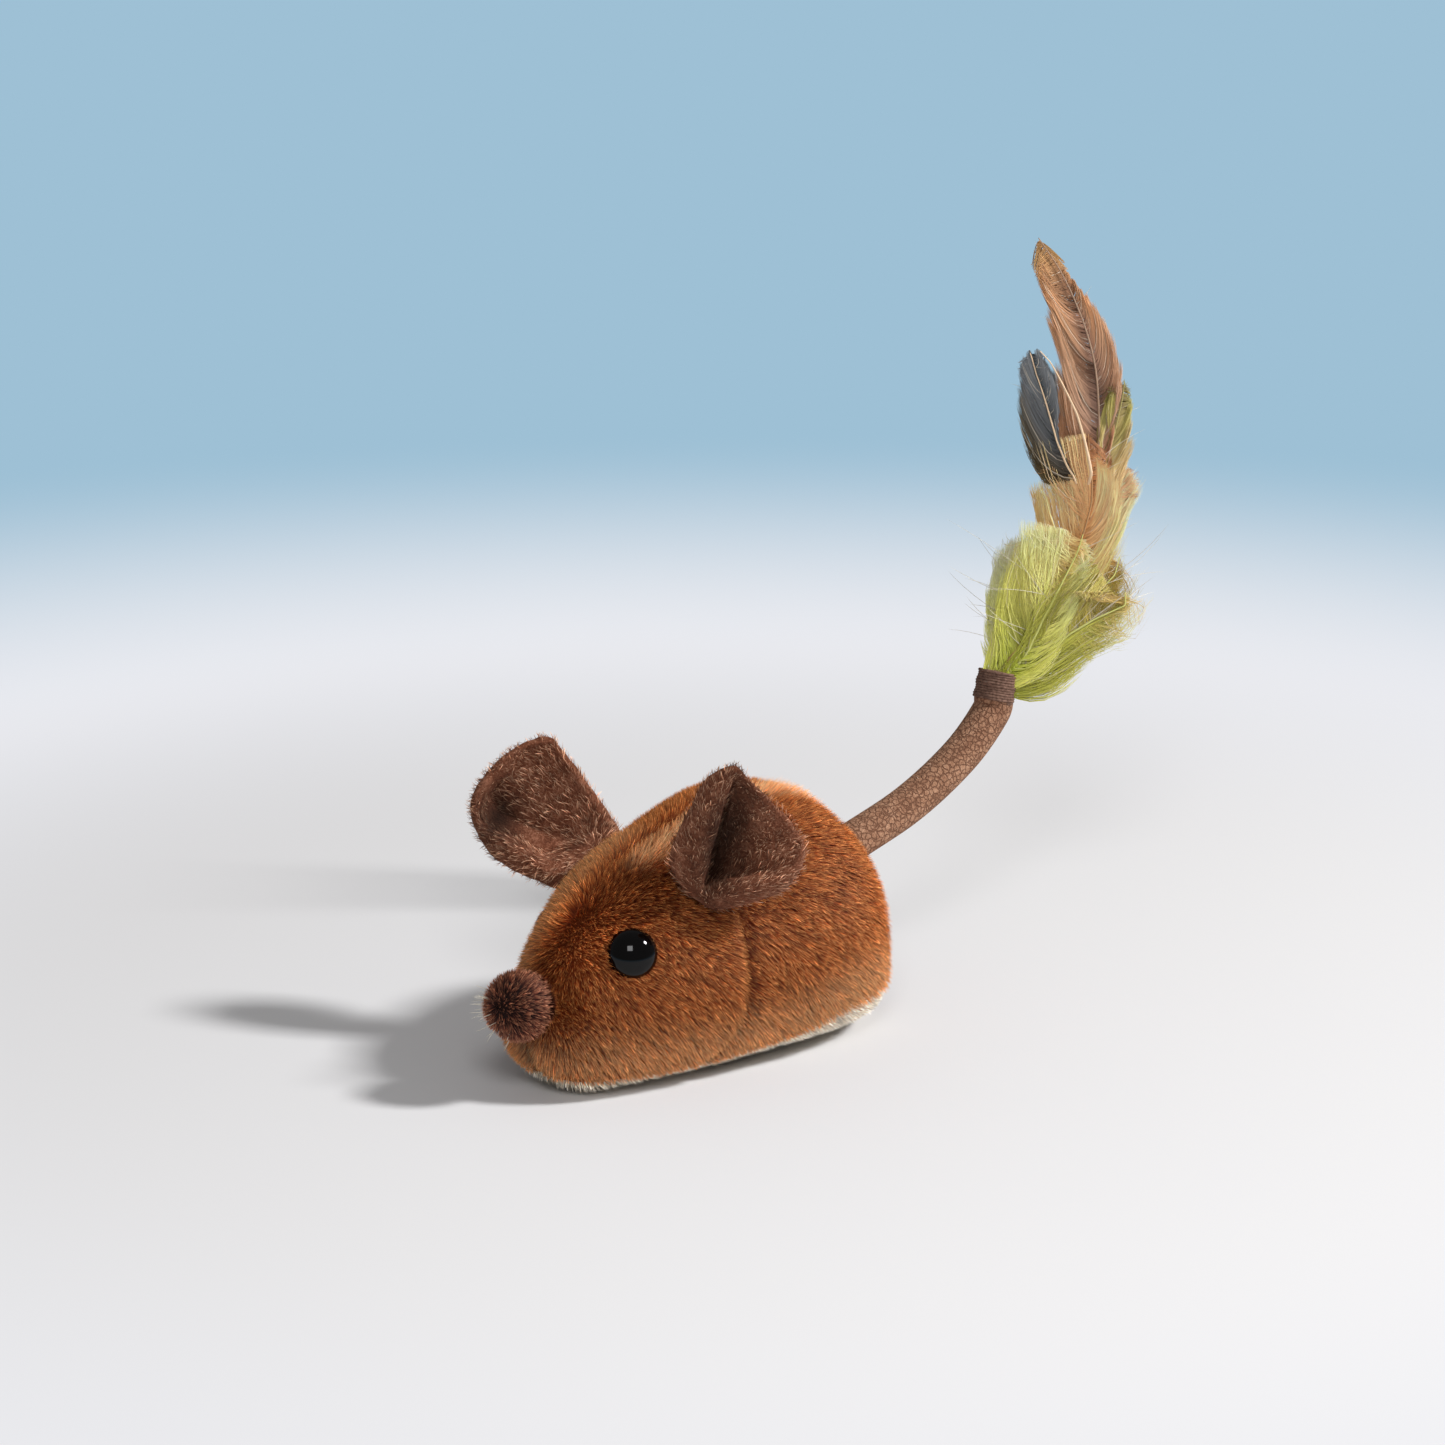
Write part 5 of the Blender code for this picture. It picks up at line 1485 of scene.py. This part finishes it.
def make_tuft_hairs(look, rng):
    """Loose hairs that reach out of the blades on both sides."""
    right, up, back = view_axes()
    starts, ways, lengths = [], [], []
    for name in feathers:
        outline = np.array(blade_shares_seen[name])
        loose = 1 - feather_tones[kind_of(name)][0]
        count = int(4 + 16 * loose)
        shares = rng.uniform(outline[0, 0] + 0.02, outline[-1, 0] - 0.03, count)
        shares.sort()
        side = rng.choice([-1.0, 1.0], count)
        reach = blade_reach(outline, shares, side) * tuft_length + tuft_hair_least
        lean = rng.uniform(0.3, 1.1, count)
        aside = right * side[:, None] + up * lean[:, None]
        ways.append(unit(aside + back * rng.normal(0, 0.2, count)[:, None]))
        starts.append(feather_path(name, shares))
        loose_ends = rng.exponential(tuft_hair_spread * loose, count).clip(0, tuft_hair_most)
        lengths.append((reach + loose_ends) * (1 + 0.35 * lean))
    parts = np.concatenate(starts), np.concatenate(ways), np.concatenate(lengths)
    loose_hairs("tuft_hairs", *parts, hair_tone, look, "tuft", "feather_green", rng)


def make_nose_hairs(look, where, rng):
    """A few loose pale hairs at the nose and the chin."""
    right, up, back = view_axes()
    turns = np.radians(rng.uniform(-75, 35, nose_hairs))[:, None]
    ways = unit(-right * np.cos(turns) + up * np.sin(turns) + back * rng.normal(0, 0.3, nose_hairs)[:, None])
    starts = np.array(nose_centre(where)) + ways * nose_ball_diameter / 2
    lengths = rng.uniform(*nose_hair_lengths, nose_hairs)
    loose_hairs("nose_hairs", starts, ways, lengths, hair_tone, look, "mouse", "nose_plush", rng)


def make_barbs(name, outline, shares, path, frames, look, rng, seed):
    """A feather's barbs, as strands in locks on both sides of its shaft."""
    stiff, _, stops = feather_tones[kind_of(name)]
    loose = 1 - stiff
    start, end = outline[0, 0], outline[-1, 0]
    root = start - 0.05 - 0.03 * loose
    each = int((end - root) * tuft_length / barb_step)
    count = each * 2 * barb_layers
    places = rng.uniform(root, end - 0.01, count)
    places = np.maximum(places, shares[0])
    side = np.repeat(np.tile([-1.0, 1.0], barb_layers), each)
    layer = np.repeat(np.arange(barb_layers), 2 * each)
    lock_share = lock_length * (1 + 0.5 * loose) / tuft_length
    lock_row = places / lock_share + layer * 0.37 + (side > 0) * 0.5
    lock = np.floor(lock_row + 0.3 * smooth_noise(lock_row, 0.7, seed))
    key = (lock * 7 + layer * 3 + (side > 0)).astype(int) % 997
    longer, turned, nearer, shade = (values[key] for values in rng.normal(0, 1, (4, 997)))
    lock_place = (lock + 0.5 - layer * 0.37 - (side > 0) * 0.5) * lock_share
    slope = (2.4 * stiff + 1.5 * loose) * (1 + 0.10 * turned)
    guess = blade_reach(outline, places + 0.06, side)
    tips = places + guess * slope
    lock_tips = lock_place + guess * slope
    top = end - (end - start) * (0.16 + 0.34 * loose) * rng.random(count) ** 1.3 + 0.004 * longer
    tips = np.clip(tips, start, top)
    reach = blade_reach(outline, tips, side) * tuft_length
    shorter = 1 - rng.beta(1.2, 4.0, count) * (0.35 + 0.45 * loose)
    reach = reach * blade_spread_share * (1 + 0.06 * longer) * shorter
    swing = rng.normal(0, 1, count)
    pull = 0.45 + 0.25 * loose
    lines = []
    for level in range(barb_levels):
        t = level / (barb_levels - 1)
        swept = t ** (1.15 + 0.35 * stiff)
        own = places + (tips - places) * swept
        shared = lock_place + (lock_tips - lock_place) * swept
        along = np.minimum(own + (shared - own) * pull * t**1.5, end + 0.01)
        out = reach * side * np.sin(t * pi / 2) ** 0.9
        wave = loose * barb_wave * np.sin(t * 6 + turned * 4 + swing * 0.5) * t
        depth = layer_gap * (layer - 1) + t * t * reach * (0.13 * nearer + 0.05 * swing)
        at, across, face = (along_path(along, shares, values) for values in (path, *frames[1:]))
        lines.append(at + across * (out + wave)[:, None] + face * depth[:, None])
    lines = np.stack(lines, axis=1)
    tangents = unit(lines[:, 4] - lines[:, 2])
    faces = along_path(places, shares, frames[2])
    across = rolled(unit(np.cross(faces, tangents)), tangents, 0.30 * turned + (0.15 + 0.4 * loose) * swing)
    height = np.clip((places - start) / (end - start), 0, 1)
    stop_places, *tones = zip(*stops)
    near, far = (along_path(height, stop_places, linear(tone)) for tone in tones)
    share = np.linspace(0, 1, barb_levels)[None, :, None] ** 0.8
    tone = near[:, None] + (far - near)[:, None] * share
    # Each feather's brightness, partly painted shade, as on the greens at the right
    tone = tone * (np.exp(0.10 * shade + 0.12 * swing))[:, None, None] * feathers[name][5]
    tone = np.minimum(tone, brightest)
    pale = rng.random(count) < pale_barb_share
    tone[pale] = tone[pale] * 0.4 + np.array(linear(pale_barb_tone)) * 0.6
    widths = barb_width * (0.5 + 0.5 * stiff) * rng.uniform(0.7, 1.3, count)
    node, slot = "feather_" + name, "feather_" + kind_of(name)
    build_strands(node + "_barbs", lines, across, widths, tone, None, look, "tuft", slot, [node])


def node_copy(name, node, look, body, lift=0.0):
    """A piece with a solid's own form, with its lowest points lifted."""
    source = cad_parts[node]
    mesh = source.data.copy()
    mesh.name = name
    mesh.materials.clear()
    mesh.materials.append(look)
    for vertex in mesh.vertices:
        vertex.co.z = max(vertex.co.z, lift)
    obj = add_object(name, mesh)
    obj.matrix_world = source.matrix_world.copy()
    settle(obj, body, [node])
    return obj


def remesh(obj, voxel, smooth_rounds):
    """Evens out a piece's mesh and rounds its edges."""
    made = obj.modifiers.new("even", "REMESH")
    made.mode = "VOXEL"
    made.voxel_size = voxel
    made.use_smooth_shade = True
    made = obj.modifiers.new("round", "SMOOTH")
    made.iterations = smooth_rounds
    return apply_modifiers(obj)


def loose_flow(roots, normals, rng):
    return unit(lay_flat(rng.normal(0, 1, roots.shape), normals))


def make_fillings(look, fibre_look, rng):
    """The stuffing: lumpy masses of loose fibre."""
    for node, body in fillings:
        obj = node_copy(node + "_mass", node, look, body)
        remesh(obj, filling_voxel, 6)
        wrinkle(obj, filling_lump, filling_lump_scale)
        grow_pile(
            node + "_fibres", obj, fibre_per_area, fibre_length, fibre_tones, fibre_look, body,
            "fibre_filling", rng, loose_flow, stand=0.06, width=fibre_width, pull=0.3, clump=fibre_length,
        )


def make_flap(look, pile_look, strip_look, hair_look, rng):
    """The belly's flap with its pile, and the two halves of its fastener."""
    flap = node_copy("flap_cloth", "belly_flap", look, "belly_flap", flap_lift)

    def under(roots, normals):
        return normals[:, 2] < 0.5

    grow_pile(
        "flap_pile", flap, belly_per_area, flap_pile_length, cream_tones, pile_look, "belly_flap",
        "plush_cream", rng, belly_flow, under, floor=True, stand=0.8,
    )
    for node, body, length, stand in (
        ("hook_strip", "belly_flap", hook_length, 1.1), ("loop_strip", "mouse", loop_length, 0.6),
    ):
        strip = node_copy(node + "_tape", node, strip_look, body)
        way = 1 if node == "hook_strip" else -1

        def facing(roots, normals):
            return normals[:, 2] * way > 0.5

        grow_pile(
            node + "_pile", strip, strip_per_area, length, cream_tones[:3], hair_look, body, "fastener_strip",
            rng, loose_flow, facing, stand=stand, width=fibre_width * 1.5, pull=0.6, clump=length,
        )


def make_knot(look):
    knot = node_copy("tail_root_cloth", "tail_root_knot", look, "tail_root")
    remesh(knot, filling_voxel / 2, 4)
    wrinkle(knot, ear_wrinkle / 2, ear_wrinkle_scale)


def metal_look(name, low, high, roughness, scale):
    """Sheet or turned metal: fine brushing and faint clouding."""
    made, tree, shader = new_look(name, high, roughness, Metallic=1.0)
    put(tree, shader.inputs["Base Color"], ramp(tree, noise(tree, scale, 3.0), ((0.35, low), (0.65, high))))
    stretched = add_node(tree, "Mapping", Scale=(1.0, 12.0, 1.0), Vector=place_node(tree)).outputs["Vector"]
    brushed = noise(tree, scale * 4, 5.0, 0.7, stretched)
    spread = add_node(tree, "MapRange", To_Min=roughness * 0.7, To_Max=roughness * 1.5, Value=brushed)
    put(tree, shader.inputs["Roughness"], spread.outputs["Result"])
    add_bump(tree, shader, brushed, 1 / scale / 60, 0.4)
    return made


def moulded_look(name, low, high, roughness, scale):
    """Moulded plastic or laminate: a fine spark texture and faint flow marks."""
    made, tree, shader = new_look(name, high, roughness, Specular_IOR_Level=0.4)
    flow = noise(tree, scale / 8, 4.0, 0.5, distortion=1.5)
    put(tree, shader.inputs["Base Color"], ramp(tree, flow, ((0.3, low), (0.7, high))))
    add_bump(tree, shader, noise(tree, scale, 2.0), 1 / scale / 12, 0.5)
    return made


def dress_solids():
    """Gives the rigid solids their materials: each look with the nodes that take it."""
    steel = metal_look("spring_steel", (150, 152, 154), (206, 208, 210), 0.28, 900)
    looks = (
        (moulded_look("case_moulding", (206, 205, 200), (226, 225, 221), 0.5, 5000),
         ("case_lower", "case_upper", "battery_door")),
        (metal_look("plated_steel", (162, 162, 160), (214, 214, 212), 0.22, 700),
         ("button_cell_1", "button_cell_2", "button_cell_3", "sensor_can", "sensor_ball", "switch_body")),
        (steel, ("door_screw", "case_screw_left", "case_screw_right", "eye_washer_left", "eye_washer_right")),
        (metal_look("brass", (176, 140, 74), (220, 186, 112), 0.3, 800),
         ("contact_plate", "contact_spring", "piezo_disc")),
        (moulded_look("board", (18, 84, 46), (34, 118, 68), 0.42, 2600), ("circuit_board",)),
        (moulded_look("epoxy", (8, 8, 9), (24, 23, 24), 0.35, 1800), ("chip_blob", "switch_knob")),
        (moulded_look("red_lead", (150, 20, 18), (190, 36, 30), 0.45, 3000), ("piezo_lead_red",)),
        (moulded_look("black_lead", (14, 14, 15), (32, 31, 32), 0.45, 3000), ("piezo_lead_black",)),
    )
    for look, nodes in looks:
        for node in nodes:
            for place_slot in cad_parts[node].material_slots:
                place_slot.material = look


def paint(obj, tone, shades=1.0):
    """Gives a piece one tint, darker by a share at each point where shades are given, as for the ears'
    painted shade.
    """
    tint_points(obj.data, linear(tone) * np.reshape(shades, (-1, 1)))


def keep_brown(frames, nose, ears):
    """Where brown pile grows: away from the eyes, the nose, the ears' roots and the tail's root."""

    def kept(roots, normals):
        found = np.ones(len(roots), bool)
        for where in frames.values():
            found &= far_from(roots, where.translation, eye_bare_radius)
        for where in ears.values():
            found &= far_from(roots, where.translation, ear_bare_radius)
        found &= far_from(roots, nose_centre(nose), nose_ball_diameter / 2)
        found &= far_from(roots, tail_points()[0][0], tail_radius)
        return found & above_edge(roots, normals)

    return kept


def top_share(points):
    """1 on the body's back, along its top, and 0 lower down."""
    return smooth_step(0.76 * body_height, 0.86 * body_height, points[:, 2])


def chin_share(points):
    """1 under the nose, at the front of the muzzle, and 0 elsewhere."""
    chin = smooth_step(-0.34 * body_length, -0.42 * body_length, points[:, 1] - place[1])
    return chin * smooth_step(0.40 * body_height, 0.28 * body_height, points[:, 2])


def middle_seam(points):
    """How near a point is to the seam between the left and right panels, strongest under the nose."""
    chin = chin_share(points)
    near = np.exp(-(((points[:, 0] - place[0]) / (middle_seam_width * (1 + chin))) ** 2))
    return near * np.maximum(np.maximum(0.15, 0.8 * top_share(points)), chin)


def middle_crest(roots):
    """How near a root is to the raised edge along the top, on the left of the middle seam."""
    away = (roots[:, 0] - place[0] - crest_offset) / crest_width
    ends = smooth_step(*crest_ends[0], roots[:, 1]) * smooth_step(*crest_ends[1], roots[:, 1])
    return np.exp(-(away**2)) * top_share(roots) * ends


def painted_pile_light(roots):
    """How far the pile is painted paler, as painted light: along the crest, near the belly and at the
    forehead's right.
    """
    crest, low, side = painted_light_shares
    forehead = smooth_step(*forehead_ends[0], roots[:, 0] - place[0])
    forehead = forehead * smooth_step(*forehead_ends[1], roots[:, 1])
    forehead = forehead * smooth_step(0.3 * body_height, 0.5 * body_height, roots[:, 2])
    over = roots[:, 2] - np.interp(roots[:, 1], *np.array(pile_edge).T)
    edge = smooth_step(edge_height, 0.2 * edge_height, over)
    return np.maximum.reduce([crest * middle_crest(roots), low * edge, side * forehead])


def painted_pile_shading(roots):
    """Painted shade at the neck and middle seams, and painted light near the belly, brow, rear and crest."""
    away = (roots[:, 1] - neck_seam(roots)) / seam_shade_width
    # Painted shade just behind the neck seam
    behind = 1 - 0.30 * np.exp(-((away - 0.5) ** 2) * 2) * (1 - 0.8 * top_share(roots))
    # Painted light near the belly
    edge = 1 + painted_edge_light * smooth_step(edge_height, 0, roots[:, 2] - 0.1 * edge_height)
    # Painted light on the brow
    brow = 1 + painted_brow_light * np.exp(-(((roots - np.array(brow_place)) / brow_reach) ** 2).sum(axis=1))
    # Painted rim light at the rear
    rear = 1 + painted_rear_light * smooth_step(*rear_ends, roots[:, 1])
    # Painted light on the crest
    crest = 1 + painted_crest_light * middle_crest(roots)
    # Painted shade along the middle seam, darkest under the nose
    return behind * edge * crest * brow * rear * (1 - 0.9 * middle_seam(roots))


def seam_length(roots):
    """Shorter pile at the seams and at the belly, and fuller before the neck seam and on the crest."""
    away = (roots[:, 1] - neck_seam(roots)) / seam_shade_width
    neck = 0.15 * np.exp(-((away + 0.8) ** 2)) - 0.35 * np.exp(-((away - 0.6) ** 2) * 2)
    found = 1 + neck * (1 - 0.8 * top_share(roots)) + crest_rise * middle_crest(roots)
    over = roots[:, 2] - belly_seam(roots[:, 1])
    return found * (0.5 + 0.5 * smooth_step(0, 2 * pile_length, over)) * (1 - 0.75 * middle_seam(roots))


def above_edge(roots, normals):
    return roots[:, 2] > np.interp(roots[:, 1], *np.array(pile_edge).T)


def under_edge(roots, normals):
    return ~above_edge(roots, normals)


def belly_flow(roots, normals, rng):
    zero = np.zeros(len(roots))
    return unit(lay_flat(np.stack([zero, zero + 1, zero - 0.4], axis=1), normals))


def nose_flow(where):
    out = np.array(where.to_3x3() @ Vector((0, 0, 1)))

    def flow(roots, normals, rng):
        centre = np.array(where.translation)
        away = roots - centre
        away = away - (away @ out)[:, None] * out
        return unit(lay_flat(unit(away) - out * 0.3, normals))

    return flow


rng = np.random.default_rng(7)
brown_cloth = cloth_look("plush_ground", (92, 36, 12), (132, 60, 22), 1400)
cream_cloth = cloth_look("cream_ground", (176, 168, 150), (206, 200, 184), 1400)
nose_ground = cloth_look("nose_ground", (24, 12, 10), (44, 22, 18), 1400)
brown_pile = strand_look(
    "plush_pile", (190, 124, 66), 0.62, Specular_IOR_Level=0.2, Sheen_Weight=0.35, Sheen_Roughness=0.28,
    Sheen_Tint=rgba((255, 160, 80)),
)
cream_pile = strand_look("cream_pile", (220, 214, 198), 0.75, Specular_IOR_Level=0.25)
nose_pile = strand_look("nose_pile", (90, 56, 46), 0.7, Specular_IOR_Level=0.3)
barb_look = strand_look("feather_barbs", (190, 160, 120), 0.55, Specular_IOR_Level=0.35)
nap_look = strand_look("suede_nap", (150, 112, 94), 0.7, Specular_IOR_Level=0.25)
suede = cracked_look("suede", (120, 82, 62), (160, 118, 92), (194, 152, 124), (104, 68, 50))
ear_suede = suede_look("ear_suede", (68, 34, 22), (120, 71, 50), (172, 118, 92), True)
filling_ground = cloth_look("filling_ground", (214, 214, 210), (236, 236, 233), 700)
filling_fibre = strand_look("filling_fibre", (232, 232, 229), 0.6, Specular_IOR_Level=0.3)
tape = cloth_look("tape", (176, 172, 160), (206, 202, 192), 2200)
tape_hair = strand_look("tape_hair", (216, 212, 202), 0.45, Specular_IOR_Level=0.4)
thread = cloth_look("thread", (84, 60, 50), (146, 114, 98), 1800)
eye_look, _, _ = new_look("bead", (4, 3, 3), 0.06, Specular_IOR_Level=0.24)

frames = eye_frames()
ears = {side: ear_frame(side) for side in ("left", "right")}
nose = nose_frame()
cover = make_cover_skin(brown_cloth)
belly = make_belly_skin(cream_cloth)
# The brown pile, with painted light and shade and a painted pale light in its colours
grow_pile(
    "pile", cover, pile_per_area, pile_length, brown_tones, brown_pile, "mouse", "plush_brown",
    rng, body_flow, keep_brown(frames, nose, ears), length_of=seam_length, shade_of=painted_pile_shading,
    painted_light_of=painted_pile_light,
)
# The low pile takes the same painted light and shade
grow_pile(
    "low_pile", belly, pile_per_area, pile_length * 0.6, brown_tones, brown_pile, "mouse", "plush_brown",
    rng, body_flow, above_edge, floor=True, shade_of=painted_pile_shading, painted_light_of=painted_pile_light,
)
grow_pile(
    "band_pile", cover, belly_per_area * 2, belly_pile_length, cream_tones, cream_pile, "mouse",
    "plush_cream", rng, belly_flow, under_edge, floor=True, stand=0.8,
)
grow_pile(
    "belly_pile", belly, belly_per_area, belly_pile_length, cream_tones, cream_pile, "mouse", "plush_cream",
    rng, belly_flow, under_edge, floor=True, stand=0.8,
)
make_eyes(eye_look, frames)
nose_cloth = make_nose(nose_ground, nose)
grow_pile(
    "nose_pile", nose_cloth, pile_per_area, nose_pile_length, nose_tones, nose_pile, "mouse", "nose_plush",
    rng, nose_flow(nose), clump=nose_clump,
)
for side in ("left", "right"):
    ear = make_ear(side, ear_suede)
    # The nap has the hollow's shade painted into its colours too
    grow_pile(
        "ear_nap_" + side, ear, nap_per_area, nap_length, nap_tones, nap_look, "ear_" + side, "suede_brown",
        rng, ear_flow(side), stand=0.5, width=nap_width, pull=0.25, clump=nap_length,
        shade_of=painted_ear_shade(side),
    )
make_tail(suede)
make_knot(suede)
make_binding(thread)
make_fillings(filling_ground, filling_fibre, rng)
make_flap(cream_cloth, cream_pile, tape, tape_hair, rng)
dress_solids()
make_feathers(barb_look, rng)
make_tuft_hairs(barb_look, rng)
make_nose_hairs(nose_pile, nose, rng)
